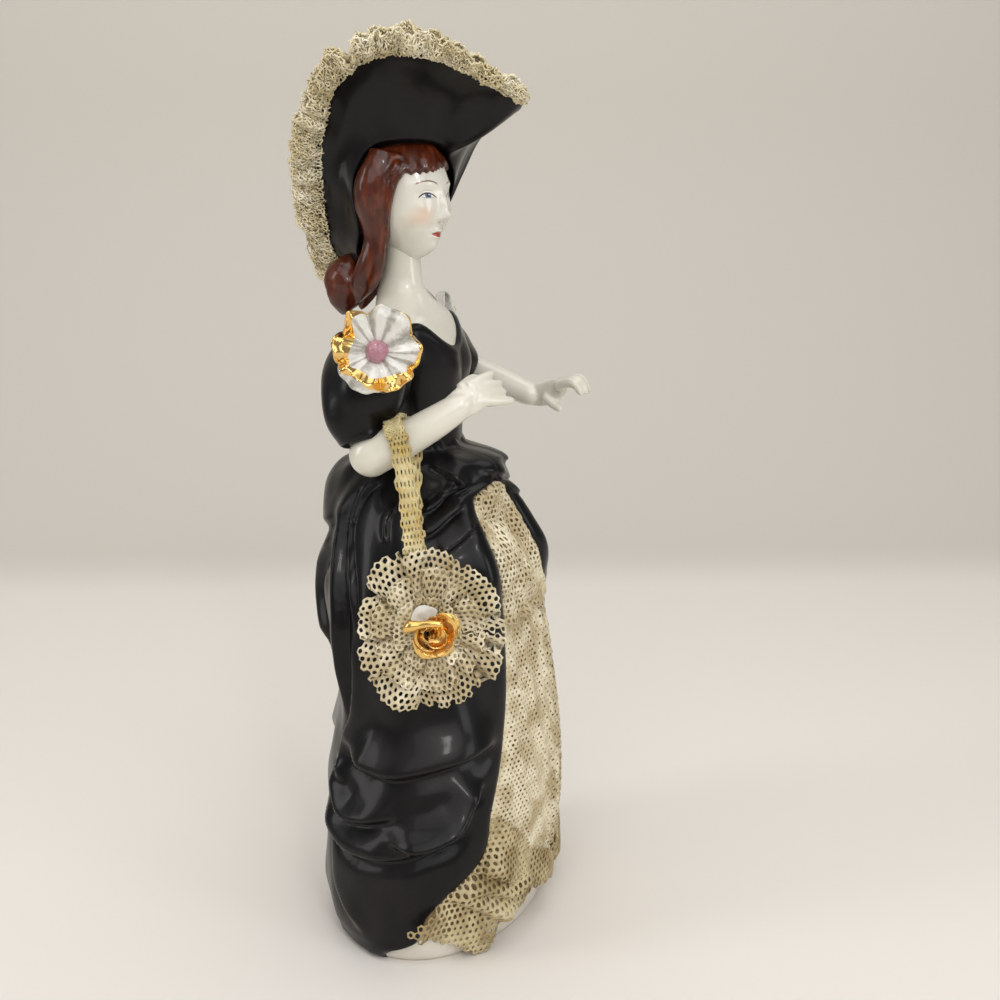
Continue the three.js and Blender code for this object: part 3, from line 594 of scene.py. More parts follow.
BLACK = black_glaze()
WHITE = white_glaze()
SHADED_UNDERSKIRT = underskirt_glaze()
AUBURN = hair_glaze()
FACE = face_paint()
HEM_CREAM = net_finish("hem_net", "9e8a60", "d2c39a", "ccb274", 0.2)
CREAM = net_finish("cream_net", "c0ae88", "f2e8cb", "e2cf9a", 0.2)
PALE_GOLD = net_finish("hat_net", "d8caa2", "faf2d8", "f6e7b8", 0.5)
STRAP_GOLD = net_finish("strap_net", "b6a168", "e4d8aa", "d9b75e", 0.5)
PETALS = petal_finish()
GILT = gilt_finish()

# Gown

SKIRT_ROWS = [  # height, half width, y of the front, y of the back, y of the widest place
    (0, 41.5, -26.4, 27, -1),
    (3, 42.2, -27.2, 27.6, -1),
    (6, 43, -28, 29, -1),
    (14, 43, -28.8, 31.3, -1),
    (30, 42.5, -30, 29.6, -1),
    (46, 41.5, -30, 29.4, -1.2),
    (62, 39.5, -28.4, 26.2, -1),
    (74, 38.3, -27.2, 25.8, 0),
    (86, 36.8, -25.6, 29.3, 1.4),
    (94, 35, -25, 31.2, 1.8),
    (100, 33.4, -24.4, 31.2, 2.2),
    (106, 31.3, -22.8, 29.8, 3),
    (112, 28.6, -19.8, 29.2, 3.8),
    (118, 25, -17, 28.8, 4.6),
    (124, 20.4, -16, 27.6, 4.8),
    (128, 17.4, -16, 25, 4.8),
    (129.6, 15.6, -15, 21.4, 4.5),
    (131, 13.4, -11.4, 17.8, 4.2),
    (131.8, 12.2, -7.6, 16.2, 4),
    (132.4, 11.6, -4.8, 15, 3.9),
    (137, 11.2, -4, 13.4, 3.8),
]
WAIST = SKIRT_ROWS[-1][0]
GIRTH = 36  # mean radius that turns an angle into a distance along the cloth
PER_DEGREE = np.radians(GIRTH)
EDGE_ROWS = [  # height, angle of the overskirt's edge on her right and on her left
    (0, 98, 92),
    (3, 93, 88),
    (5, 84, 84),
    (7, 77, 78),
    (10, 75, 75),
    (14, 72, 71),
    (18, 65, 65),
    (28, 46, 51),
    (40, 42, 47),
    (55, 35.5, 43),
    (70, 30.5, 39),
    (86, 28, 32),
    (96, 30, 17),
    (106, 32, 9),
    (114, 34, 6.5),
    (119, 35.5, 4),
    (121.6, 34.5, 0),
    (123.2, 26, -7),
    (124.2, 17, -16),
    (130, 16, -16),
]
OPENING_ROWS = [  # height, how deep the front lies back, how proud the drapes' edges roll
    (60, 0, 0.5),
    (80, 0.8, 0.8),
    (94, 2, 2),
    (104, 2.6, 3.4),
    (114, 2.2, 3.2),
    (122, 1, 2.0),
    (128, 0, 0.6),
    (131, 0, 0),
]
OVERSKIRT_STEP = 1.3  # how far the overskirt stands out over the underskirt
UNDERSKIRT_TOP = 127
EDGE_ROUND = 1.8  # radius of the overskirt's rounded edge
FOOT_ROUND = 0.7  # radius at the underskirt's foot
EDGE_COLUMNS = (0, 0.25, 0.6, 1.1, 1.8, 2.7)  # columns crowded at each edge, in 180ths of the way round
FRONT_SUNK = 2.2  # how far the overskirt lies behind the underskirt across the opening
LEFT_RISE = 2  # how much higher the swags hang on her left

# Folds as [angle, height] lines: the cloth bulges over the upper or left side of a line and drops
# away under it. Swell is the bulge's height and width how far up it reaches.
SWAGS = [
    ([(37, 59), (49, 57), (71, 54), (88, 52), (97, 52), (110, 53.5), (126, 60)], 3.4, 6.5),
    ([(84, 42), (105, 38.5), (117, 38.5), (126, 44), (133, 53)], 2.6, 4.4),
    ([(46, 50), (52, 44), (60, 38), (77, 34), (94, 36)], 2.8, 4.6),
    ([(46, 44), (57, 36.5), (70, 33), (85, 30.5), (109, 29), (121, 31), (132, 36), (142, 44)], 3.2, 6),
    ([(104, 5), (118, 12), (126, 18), (132, 27), (138, 38)], 1.2, 6),
    ([(117, 46), (125, 50), (126, 57), (119, 66), (115, 76), (114, 88)], 1.3, 3.4),
]
PANNIER = [
    (
        [
            (107, 128),
            (117, 121),
            (121, 115),
            (122, 108),
            (119, 100),
            (118, 90),
            (122, 80),
            (124, 70),
            (120, 60),
        ],
        2.4,
        4.5,
    ),
    ([(97, 128), (110, 122), (116, 115), (114, 107), (109, 98), (108, 86)], 1.2, 2.4),
    ([(126, 110), (138, 106), (148, 100), (152, 92), (146, 80), (134, 70)], 1.8, 6),
    ([(41, 121), (49, 125), (60, 127.5), (76, 130)], 1.4, 2.2),
    ([(42, 121.5), (54, 117), (64, 114), (74, 112.5)], 1.7, 2.4),
    ([(48, 125), (56, 122), (63, 119.5), (72, 118)], 1.3, 1.8),
    ([(39, 116), (50, 111), (63, 107.5)], 1.2, 2.8),
    ([(88, 120), (92, 116), (91, 111)], 0.8, 1.6),
]
PEPLUM = [
    ([(-60, 125), (-24, 127), (6, 129.5), (34, 133)], 0.8, 2.6),
    ([(-60, 119.5), (-24, 121.5), (6, 125), (36, 128)], 0.8, 2.6),
    ([(-24, 117), (-8, 119.5), (8, 122.5), (24, 126.5)], 0.6, 1.8),
]
BUSTLE = [
    ([(112, 119), (140, 112.5), (160, 110.5), (180, 109.5), (200, 110.5), (220, 112.5), (248, 119)], 1.2, 6),
    ([(138, 84), (160, 78), (180, 75), (200, 78), (222, 84)], 1.6, 10),
    ([(142, 60), (160, 52.5), (180, 49), (200, 52.5), (218, 60)], 1.2, 9),
    ([(150, 24), (180, 16), (210, 24)], 1.2, 7),
]


def mirrored(fold):
    """The same fold on her left."""
    line, swell, width = fold
    turned = [(-angle, height + LEFT_RISE) for angle, height in line]
    return turned[::-1], swell, width


FOLDS = [*SWAGS, *PANNIER, *PEPLUM, *map(mirrored, [*SWAGS, *PANNIER]), *BUSTLE]


def fold_height(fold, angle, height):
    """Height of one fold above the plain cloth. Across the line, in widths from it, the cloth rises
    steeply to a bulge and eases off above, with a narrow dip below; it fades at the line's ends."""
    line, swell, width = fold
    knots = np.array(line, float)
    turn = np.where((knots[-1, 0] > 180) & (angle < 0), angle + 360, angle)
    knots[:, 0] *= PER_DEGREE
    path = curve(knots, np.linspace(0, 1, 33))
    here = np.stack([turn * PER_DEGREE, height], -1)
    reach = 2.6 * width
    close = np.all((here > path.min(0) - reach) & (here < path.max(0) + reach), -1)
    lift = np.zeros(angle.shape)
    p = here[close]
    if len(p) == 0:
        return lift
    nearest = np.full(len(p), np.inf)
    signed = np.zeros(len(p))
    share = np.zeros(len(p))
    last = len(path) - 1
    for i in range(last):
        run = path[i + 1] - path[i]
        off = p - path[i]
        t = np.clip(off @ run / (run @ run), 0, 1)
        gap = np.linalg.norm(off - t[:, None] * run, axis=-1)
        better = gap < nearest
        side = run[0] * off[:, 1] - run[1] * off[:, 0]
        nearest = np.where(better, gap, nearest)
        signed = np.where(better, np.where(side < 0, -gap, gap), signed)
        share = np.where(better, (i + t) / last, share)
    s = signed / width
    taper = smooth(share, 0, 0.22) * smooth(1 - share, 0, 0.22)
    step = smooth(s, -0.12, 0.3)
    bulge = step * bell(s - 0.3)
    dip = 0.5 * (1 - smooth(s, -0.25, 0.1)) * bell((s + 0.2) / 0.5)
    lift[close] = swell * taper * (1.15 * bulge - dip)
    return lift


def outside(angle, height):
    """Degrees that an angle lies outside the opening of the overskirt; negative in the opening."""
    return np.maximum(angle - along(EDGE_ROWS, 1, height), -angle - along(EDGE_ROWS, 2, height))


def drapery(angle, height):
    """Everything that folds add to the plain shape: swags, rolled edges, the bustle's gathers and the
    hollow of the front."""
    side = np.abs(angle)
    off = outside(angle, height)
    total = sum(fold_height(fold, angle, height) for fold in FOLDS)
    fade = smooth(height, 1, 6) * smooth(WAIST - 1 - height, 2, 10) * smooth(off, -6, 2)
    recess = along(OPENING_ROWS, 1, height) * smooth(-off, 0, 9)
    roll = along(OPENING_ROWS, 2, height) * bell((off - 7) / 8)
    behind = 3.4 * bell((180 - side) / 36) * bell((height - 121) / 8)
    return total * fade + behind + roll - recess


def gown_point(angle, height, lift):
    """A point round the skirt: an egg of the row's half width and depths, moved outwards by lift."""
    turn = np.radians(angle)
    half, front, back, middle = (along(SKIRT_ROWS, c, height) for c in (1, 2, 3, 4))
    depth = np.where(np.cos(turn) > 0, middle - front, back - middle)
    way = unit(np.stack([-np.sin(turn) / half, -np.cos(turn) / depth], -1))
    x = -half * np.sin(turn) + way[..., 0] * lift
    y = middle - depth * np.cos(turn) + way[..., 1] * lift
    return np.stack([x, y, height + 0 * x], -1)


def overskirt():
    """The black overskirt: columns from her left edge round the back to her right edge, rounded down to
    the underskirt at both, and a few columns sunk behind the underskirt across the front."""
    heights = np.linspace(0, WAIST, 224)[:, None]
    close = np.array(EDGE_COLUMNS) / 180
    cloth = np.concatenate([close, np.linspace(0.02, 0.98, 262), 1 - close[::-1]])
    right, left = along(EDGE_ROWS, 1, heights), -along(EDGE_ROWS, 2, heights)
    angle = left + 360 + (right - left - 360) * cloth
    angle = np.where(angle > 180, angle - 360, angle)
    h = heights + 0 * angle
    from_edge = outside(angle, h) * PER_DEGREE
    step = np.sqrt(np.clip(1 - (1 - np.clip(from_edge / EDGE_ROUND, 0, 1)) ** 2, 0, 1))
    step = step + (1 - step) * (1 - smooth(right - left, 0, 12))
    wave = 0.25 * wander(angle / 9, h / 6, seed=3)
    hem = smooth(h, 0.2, 1.6)
    waist = smooth(WAIST - h, 0, 6)
    pleats = 0.45 * np.sin(angle / 5.2 + 1.4 * wander(angle / 30, h / 14, seed=9)) * bell((h - 131) / 5)
    cloth_lift = OVERSKIRT_STEP * step * hem * waist - 0.3 * (1 - hem)
    lift = drapery(angle, h) + cloth_lift + wave * smooth(from_edge, 0, 4) + pleats
    shown = gown_point(angle, h, lift)
    across = right + (left - right) * np.linspace(0, 1, 9)[1:-1]
    h = heights + 0 * across
    sunk = gown_point(across, h, drapery(across, h) - FRONT_SUNK)
    return loft(np.concatenate([shown, sunk], axis=1))


def underskirt():
    """The pale underskirt under the nets and round the foot: the plain egg with the front's hollow."""
    heights = np.concatenate([[0, 0.5, 1.2], np.linspace(2, UNDERSKIRT_TOP, 56)])[:, None]
    angle = np.linspace(-180, 180, 121)[None, :-1] + 0 * heights
    h = heights + 0 * angle
    foot = FOOT_ROUND * (1 - smooth(h, 0, 2 * FOOT_ROUND))
    behind = smooth(outside(angle, h), 0, 8)
    lift = drapery(angle, h) * (1 - behind) - foot - 1.2 * behind
    return loft(gown_point(angle, h, lift))


piece("gown_overskirt", overskirt(), BLACK, ["figure"])
piece("gown_underskirt", underskirt(), SHADED_UNDERSKIRT, ["figure"])

# Bodice, neck and sleeves

TORSO_ROWS = [  # height, half width, half depth, y of the middle
    (122, 11, 8.2, 4.6),
    (133, 10.9, 8.7, 4.6),
    (140, 11.8, 8.9, 4.6),
    (149, 14.6, 9.6, 4.5),
    (156, 17, 9.6, 4.6),
    (162, 17.6, 9.4, 5.6),
    (167, 15.2, 9.4, 7.8),
    (170.5, 9, 8.2, 9.8),
    (174, 5.4, 6.6, 11.2),
    (180, 4.6, 5.2, 11),
    (187, 4.8, 5, 10.8),
]


def torso_point(turn, height, lift=0.0):
    """A point of the trunk: an ellipse by the row at that height, with the bust as two soft swellings."""
    half, depth, middle = (along(TORSO_ROWS, c, height) for c in (1, 2, 3))
    x = -half * np.sin(turn)
    front = np.maximum(np.cos(turn), 0)
    bust = 1.6 * front * bell((np.abs(x) - 6.4) / 5) * bell((height - 155) / 5.4)
    grown = 1 + lift / half
    return np.stack([x * grown, middle - (depth * np.cos(turn) + bust) * grown, height + 0 * x], -1)


TRUNK_FOOT = 130


def trunk():
    """Neck, chest and back in white: the plain trunk."""
    height = np.linspace(TRUNK_FOOT, TORSO_ROWS[-1][0], 70)[:, None]
    turn = np.linspace(0, TURN, 97)[None, :-1]
    return loft(torso_point(turn + 0 * height, height + 0 * turn))


BODICE_FOOT, BODICE_CLOTH = 128, 0.9
# Heights of the neckline at the point of its V and behind, and how far it rises to the shoulder.
NECKLINE_FRONT, NECKLINE_RISE, NECKLINE_BACK = 159.5, 6.5, 163
NECKLINE_TURN = 0.22  # how far the point of the V lies to her right, in radians


def bodice():
    """The black bodice: the trunk grown by the cloth, up to a neckline that falls to a V in front,
    with surplice folds that run from each shoulder to the other side of the waist."""
    turn = np.linspace(-np.pi, np.pi, 201)[None, :-1]
    from_point = turn - NECKLINE_TURN * np.maximum(np.cos(turn), 0)
    x = np.abs(np.sin(from_point))
    rise = NECKLINE_RISE * smooth(x, 0.02, 0.75) * np.where(from_point < 0, 1.25, 1)
    front = NECKLINE_FRONT + rise
    top = np.where(np.cos(turn) > 0, front, NECKLINE_BACK + (front - NECKLINE_BACK) * smooth(x, 0.5, 1))
    share = np.concatenate([np.linspace(0, 1, 90), [1, 1, 1]])[:, None]
    height = BODICE_FOOT + (top - BODICE_FOOT) * share
    lift = np.full(height.shape, BODICE_CLOTH)
    slope = (height - 145) * 0.9
    sway = np.degrees(turn) + np.where(turn > 0, -slope, slope)
    gather = np.sin(np.radians(sway) * 8) * bell((np.degrees(np.abs(turn)) - 30) / 26)
    gather = gather * smooth(height, 133, 142)
    lift = lift + 0.3 * gather * (1 - smooth(height - top, -5, 0))
    lift = lift + 0.5 * bell((height - top + 1.2) / 1.1) * (np.cos(turn) > -0.2)
    lift[-3:] = np.array([0.55, 0.0, -1.4])[:, None]
    height[-3:] += np.array([0.25, 0.2, -0.6])[:, None]
    return loft(torso_point(turn + 0 * height, height, lift))


SLEEVES = {  # x, y, z and radius from the shoulder down to the band
    "right": [
        (-11, 7, 160, 5.5),
        (-17.4, 8.2, 159.6, 8.6),
        (-23.4, 10.2, 156, 11),
        (-26.6, 11.2, 149.6, 10.8),
        (-28.9, 12, 143, 8.6),
        (-30.4, 10.2, 137, 5.7),
    ],
    "left": [
        (11, 7, 160.5, 5.5),
        (18, 9, 159.6, 8),
        (24, 10.8, 155.4, 9.4),
        (29.4, 9.4, 151.8, 9.6),
        (33.6, 7.8, 149.6, 8.6),
        (36.2, 5.6, 148.6, 6.4),
    ],
}


def tube(rows, sides, steps, ripple=None, flatten=1.0, rounded=0.0):
    """A round tube along the curve through x, y, z, radius rows; ripple(turn, t) scales its radius,
    and rounded closes the far end like a fingertip over that share of the length."""
    t = np.linspace(0, 1, steps + 1)
    path = curve(rows, t)
    ahead = unit(np.gradient(path[:, :3], axis=0))
    helper = np.array([0.0, 1, 0]) if abs(ahead[0, 0]) > 0.8 else np.array([1.0, 0, 0])
    side = unit(np.cross(helper, ahead))
    up = np.cross(ahead, side)
    turn = np.linspace(0, TURN, sides + 1)[:-1]
    radius = path[:, 3][:, None] * np.ones(sides)
    if ripple is not None:
        radius = radius * ripple(turn[None, :], t[:, None])
    if rounded:
        close = np.clip((t - 1 + rounded) / rounded, 0, 1)
        radius = radius * np.sqrt(np.clip(1 - 0.97 * close**2, 0, 1))[:, None]
    wide = side[:, None] * (radius * np.cos(turn))[..., None]
    high = up[:, None] * (radius * flatten * np.sin(turn))[..., None]
    return path[:, None, :3] + (wide + high)


def sleeve(rows, seed):
    """A puffed sleeve with soft folds that gather at the shoulder and at the band above the elbow."""

    def ripple(turn, t):
        gather = 0.035 * np.sin(5 * turn + 2 * wander(t * 3, seed=seed) + 3 * t) * smooth(t, 0.1, 0.4)
        sag = 0.03 * np.sin(3 * turn + 7 * t)
        hem = 0.03 * bell((t - 0.975) / 0.02) - 0.04 * smooth(t, 0.985, 1)
        return 1 + (gather + sag) * (1 - 0.6 * smooth(t, 0.85, 0.98)) + hem

    return loft(tube(rows, 96, 90, ripple))


piece("neck_and_chest", trunk(), WHITE, ["figure"])
piece("bodice", bodice(), BLACK, ["figure"])
for number, (hand, rows) in enumerate(SLEEVES.items()):
    piece(f"{hand}_sleeve", sleeve(rows, number), BLACK, ["figure"])

# Head and hair

# Middle and half sizes of the head and of the hair: to the side, forward and up.
HEAD = np.array([0, 9.4, 198])
HEAD_TURN = np.radians(18)
HEAD_HALF = (10.4, 12.2, 16.4)
HAIR = np.array([0, 10.6, 198])
HAIR_HALF = (12.2, 14.2, 17)
FACE_FORMS = [  # to the side, up, how proud, half width, half height
    (0, -4.6, 2.1, 1.25, 1.3),
    (0, -2.2, 1.5, 1.0, 3.0),
    (1.25, -5.4, 0.7, 0.7, 0.7),
    (0, -8.5, 0.75, 2.1, 0.75),
    (0, -10.0, 0.8, 1.8, 0.8),
    (0, -9.25, -0.35, 2.0, 0.3),
    (0, -13.4, 1.7, 3.2, 2.6),
    (4.2, 0.9, -1.0, 2.6, 1.9),
    (4.3, 0.4, 0.6, 1.7, 1.2),
    (4.4, 3.6, 0.45, 3.2, 1.1),
    (5.4, -4.4, 0.6, 2.8, 2.8),
    (2.4, -7.4, -0.3, 1.0, 1.6),
]


def head_place(right, forward, up):
    """A point from its distances to the right, forward and up of the middle of the head."""
    c, s = np.cos(HEAD_TURN), np.sin(HEAD_TURN)
    x = HEAD[0] - right * c - forward * s
    y = HEAD[1] + right * s - forward * c
    return np.stack([x, y, HEAD[2] + up + 0 * x], -1)


def head():
    """An egg that narrows to the chin, with the face's forms as bell-shaped swellings on its front."""
    rise = np.linspace(-np.pi / 2, np.pi / 2, 162)[1:-1, None]
    even = np.linspace(-np.pi, np.pi, 189)[None, :-1]
    turn = even - 0.5 * np.sin(even)
    up = HEAD_HALF[2] * np.sin(rise) + 0 * turn
    jaw = 1 - 0.24 * smooth(-up, 2, HEAD_HALF[2])
    right = HEAD_HALF[0] * np.cos(rise) * np.sin(turn) * jaw
    forward = HEAD_HALF[1] * np.cos(rise) * np.cos(turn)
    front = smooth(forward, 0, 3)
    for side, place, proud, wide, tall in FACE_FORMS:
        forward = forward + front * proud * bell((np.abs(right) - side) / wide) * bell((up - place) / tall)
    points, faces = loft(head_place(right, forward, up))
    local = np.stack([right, up, forward], -1).reshape(-1, 3)
    ends = np.array([[0, -HEAD_HALF[2], 0], [0, HEAD_HALF[2], 0]])
    return (points, faces), np.vstack([local, ends])


LOCKS = [  # x, y, z and radius down each lock: her right side, the roll at the nape, behind, her left
    [
        (-9.4, 12.6, 210, 3.2),
        (-10.2, 13.2, 206, 4.3),
        (-10.8, 14.8, 201, 4.9),
        (-10.6, 15.1, 196, 4.4),
        (-10, 14.9, 191.5, 3.3),
        (-9.6, 14.8, 187, 2.9),
        (-9, 16.2, 181.5, 3.6),
        (-7.6, 19, 176, 3.8),
        (-6.2, 21.6, 170.6, 2.4),
    ],
    [
        (-3, 22.6, 181, 2.6),
        (-4.6, 24.6, 179.2, 4.4),
        (-5.6, 25.6, 176.8, 5.3),
        (-5.8, 25.6, 173.8, 5),
        (-5.4, 25.8, 170.4, 3.8),
        (-4.8, 26.4, 167, 1.8),
    ],
    [(0, 18, 190, 4.6), (0, 22.4, 183, 4.8), (-1.4, 24.4, 176, 4.8), (-2.4, 24.6, 168.5, 2)],
    [
        (7.4, 14, 203, 2.4),
        (9.6, 16, 191, 3.6),
        (7.4, 20, 182, 4.6),
        (3.6, 22.6, 175, 4.4),
        (1, 23.6, 168, 1.6),
    ],
]
CURLS = [  # small curls that frame the face, each from the temple down
    [
        (-9.2, 7.6, 209, 1),
        (-10.2, 9.8, 206, 1.8),
        (-10.9, 11.6, 202, 2),
        (-11, 12.6, 197.6, 2),
        (-10.6, 13.4, 193, 1.5),
    ],
    [
        (-10.6, 13, 195, 1.2),
        (-10.5, 13.3, 191, 1.8),
        (-10, 13.6, 187, 1.9),
        (-9.5, 14.2, 182.6, 2),
        (-8.6, 16, 178, 1.9),
        (-7.2, 19.4, 172.6, 1.4),
    ],
    [
        (5.4, 1.2, 207, 1.3),
        (9.6, 3.4, 202, 1.8),
        (11.6, 7, 195, 2.1),
        (11, 10, 188, 1.9),
        (9.6, 13, 182, 1.1),
    ],
    [
        (-8.8, 9.4, 207.4, 0.7),
        (-10.8, 8, 206.4, 1.1),
        (-11.8, 8.8, 204.6, 1.1),
        (-11.6, 10.4, 204.6, 1.0),
        (-11, 10.4, 206, 0.7),
    ],
]
HAIR_VOXEL = 0.38
LOCK_FLAT = 0.78  # depth of a lock over its width
FRINGE_UP, NAPE_UP = 7.2, -13  # where the hair ends over the brow and behind, from the middle of the head


def hair_cap():
    """The swept hair: an ellipsoid from the crown down to the hairline, which is high over the brow
    with uneven points and low behind; broad soft waves run from the crown to the points."""
    turn = np.linspace(-np.pi, np.pi, 369)[None, :-1]
    brow = smooth(np.cos(turn), 0.1, 0.62)
    foot = NAPE_UP + (FRINGE_UP - NAPE_UP) * brow
    uneven = wander(np.cos(turn) * 3, np.sin(turn) * 3, seed=7)
    tooth = np.abs((turn * 4.6 + uneven) % 1 - 0.5) * 2
    foot = foot - brow * (1.2 * tooth - 0.6 + 0.9 * uneven)
    low = np.arcsin(np.clip(foot / HAIR_HALF[2], -1, 1))
    share = np.concatenate([np.linspace(0, 1, 120)[1:], [1, 1]])[:, None]
    rise = np.pi / 2 + (low - np.pi / 2) * share
    sweep = turn + 0.35 * np.sin(turn) * share * (1 - share)
    strand = np.sin(22 * sweep + 2.5 * wander(share * 3, np.cos(turn) * 2, np.sin(turn) * 2, seed=5))
    lumps = wander(np.cos(turn) * 3, np.sin(turn) * 3, share * 6, seed=6)
    waved = smooth(share, 0.08, 0.4) * (0.01 * strand + 0.03 * lumps)
    grown = 1 + waved + 0.025 * brow * smooth(share, 0.4, 0.8)
    grown[-2:] = np.array([0.96, 0.8])[:, None]
    right = HAIR_HALF[0] * np.cos(rise) * np.sin(turn) * grown
    forward = HAIR_HALF[1] * np.cos(rise) * np.cos(turn) * grown
    up = HAIR_HALF[2] * np.sin(rise) * grown
    return loft(head_place(right, forward, up) + (HAIR - HEAD))


def lock(rows, seed, sides=84, steps=90, strands=4, twist=1.1):
    """A lock of hair: a lumpy tube with a few shallow grooves that wind slowly round it."""

    def ripple(turn, t):
        wound = strands * (turn + twist * t + 0.5 * wander(t * 4, seed=seed))
        lumps = 0.09 * wander(np.cos(turn) * 1.3, np.sin(turn) * 1.3, t * 9, seed=seed + 30)
        return 1 + 0.035 * np.sin(wound) + lumps

    return loft(tube(rows, sides, steps, ripple, flatten=LOCK_FLAT, rounded=0.2))


def hair():
    """Cap, locks and curls, fused on a fine grid of voxels and smoothed as the glaze does."""
    made = [hair_cap()]
    made += [lock(rows, seed) for seed, rows in enumerate(LOCKS)]
    made += [lock(rows, seed + 9, 48, 50, 3, 0.8) for seed, rows in enumerate(CURLS)]
    return fused("hair", made, HAIR_VOXEL, smoothing=4)


head_shell, face_places = head()
piece("head", head_shell, FACE, ["figure"], {"face": face_places})
piece("hair", hair(), AUBURN, ["figure"])

# Forearms and hands

ARMS = {  # x, y, z and radius along an arm and a palm; each finger's knuckle, middle and tip
    "right": {
        "arm": [
            (-30.4, 8.2, 134.1, 5.7),
            (-29.3, 0, 138, 4.8),
            (-27.6, -8.5, 143.1, 4.2),
            (-26, -14.4, 147.1, 3.4),
            (-24.6, -18, 149.4, 1.6),
        ],
        "palm": [
            (-26.6, -12.5, 146, 3.6),
            (-25.4, -15, 147.9, 4),
            (-24.2, -16.8, 149.2, 4.2),
            (-23, -18.2, 150, 3.9),
            (-22, -19.2, 150.3, 3),
        ],
        "fingers": [
            [(-24.4, -15.4, 151.7), (-20.6, -18.4, 153.4), (-16.8, -20.3, 154.7)],
            [(-24.3, -16.6, 150.9), (-20.5, -20, 151.6), (-16.6, -22.5, 152.2)],
            [(-24.3, -17.4, 149.7), (-20.4, -21, 149.9), (-16.6, -23.6, 149.9)],
            [(-24.5, -17.4, 148.4), (-20.6, -21.8, 147.9), (-16.8, -26, 147.8)],
            [(-24.6, -14, 151), (-22.4, -15.6, 153), (-20.2, -16.7, 154)],
        ],
    },
    "left": {
        "arm": [
            (36.2, 5, 148.4, 4.8),
            (34.4, -0.6, 147, 4.4),
            (32.8, -8, 144.9, 3.9),
            (31.2, -15, 142.6, 3.4),
            (30, -19.4, 141.8, 2.6),
        ],
        "palm": [
            (32.4, -10, 144, 3),
            (31, -16.4, 142.4, 3.3),
            (29.6, -21.4, 143, 3.5),
            (28.6, -24.4, 144.6, 3.2),
            (27.8, -27.2, 146.2, 2.6),
        ],
        "fingers": [
            [(29.6, -25.4, 146), (28.6, -31.2, 147.8), (28, -34.2, 144.2)],
            [(28.4, -25.8, 146.4), (27, -31.8, 148), (26.4, -34.8, 144.1)],
            [(27.2, -25.8, 146.2), (25.4, -31.4, 147.7), (24.8, -34.4, 144)],
            [(26.2, -25.2, 145.8), (23.9, -30.4, 147.1), (23.3, -33.4, 143.8)],
            [(29, -20.8, 142.4), (28.2, -24, 140), (27.2, -26.6, 138.8)],
        ],
    },
}
FINGER_RADII = (1.75, 1.4, 0.95)
PALM_FLAT = 0.46  # thickness of a palm over its width
ARM_VOXEL = 0.33


def forearm(arm, palm, fingers):
    """Tubes for the arm, palm and fingers and a ball at the elbow, fused on a fine grid of voxels."""
    *elbow, elbow_radius = arm[0]
    shells = [loft(tube(arm, 40, 60, rounded=0.2))]
    shells.append(loft(tube(palm, 40, 40, flatten=PALM_FLAT, rounded=0.2)))
    turn = np.linspace(0, TURN, 33)[:-1]
    rise = np.linspace(-np.pi / 2, np.pi / 2, 18)[1:-1, None]
    globe = np.stack([np.cos(rise) * np.cos(turn), np.cos(rise) * np.sin(turn), np.sin(rise) + 0 * turn], -1)
    shells.append(loft(np.array(elbow) + globe * elbow_radius))
    for finger in fingers:
        rows = [(*joint, radius) for joint, radius in zip(finger, FINGER_RADII)]
        shells.append(loft(tube(rows, 20, 26, rounded=0.16)))
    return fused("forearm", shells, ARM_VOXEL, smoothing=12)


for hand, parts in ARMS.items():
    piece(f"{hand}_forearm_glazed", forearm(**parts), WHITE, [f"{hand}_forearm"])

# Hat

RIM = [  # x, y and z of points round the brim's rim, from the front peak round her right
    (-3, -22.8, 221.6),
    (-12, -15.2, 227.8),
    (-18, -8.2, 231.5),
    (-21, 0.3, 233.5),
    (-21.5, 7.5, 233.2),
    (-20.8, 14.5, 230.8),
    (-18.5, 22.6, 224.8),
    (-15, 26.6, 217.6),
    (-11.5, 30, 210.4),
    (-7, 31.4, 200.5),
    (-3, 31.9, 191.6),
    (1.5, 31, 184),
    (8, 28.2, 181),
    (15.5, 23.6, 181.6),
    (22.5, 17, 185),
    (27, 9.5, 193.2),
    (26.6, 3.2, 204.4),
    (23, -3.4, 214),
    (10, -14.6, 218.6),
]
CROWN_WAY = unit(np.array([0.62, 0.33, 0.71]))
CROWN_WALL = 2.2
CROWN_CREASE = 1.4
# How far the brim's inner edge lies down the hair, in degrees from the crown's way, at each rim point.
SEAT_TILT = [70, 73, 76, 76, 75, 73, 70, 75, 88, 124, 128, 121, 104, 92, 86, 82, 78, 74, 70]
BRIM_DISH = 3.2  # how deep the brim is hollowed towards the crown
BRIM_FLUTE, BRIM_FLUTES = 0.7, 11  # depth of the flutes behind, and how many would go all round
PEAK_RIDGE = 2.2  # how far the brim stands down along the crease under its front peak
FLAP_SAG = 4.6  # how far the brim hangs down behind her ear
BRIM_WALL = 2.0
BRIM_GAP, NAPE_GAP = 1.6, 2.2  # how far the brim's inner edge stands off the hair, and more at the nape
RIM_TAPER = 0.3  # how much thinner the wall is at the rim
LIP_ROUND = 0.6  # how far the rounded lip goes past the rim


def on_hair(way, grow):
    """The point of the hair's ellipsoid, grown by a thickness, that lies along a way from its middle."""
    c, s = np.cos(HEAD_TURN), np.sin(HEAD_TURN)
    x, y, z = np.moveaxis(way, -1, 0)
    turned = np.stack([x * c - y * s, x * s + y * c, z], -1)
    half = np.array(HAIR_HALF) + np.asarray(grow)[..., None]
    reach = 1 / np.linalg.norm(turned / half, axis=-1)
    return HAIR + way * reach[..., None]


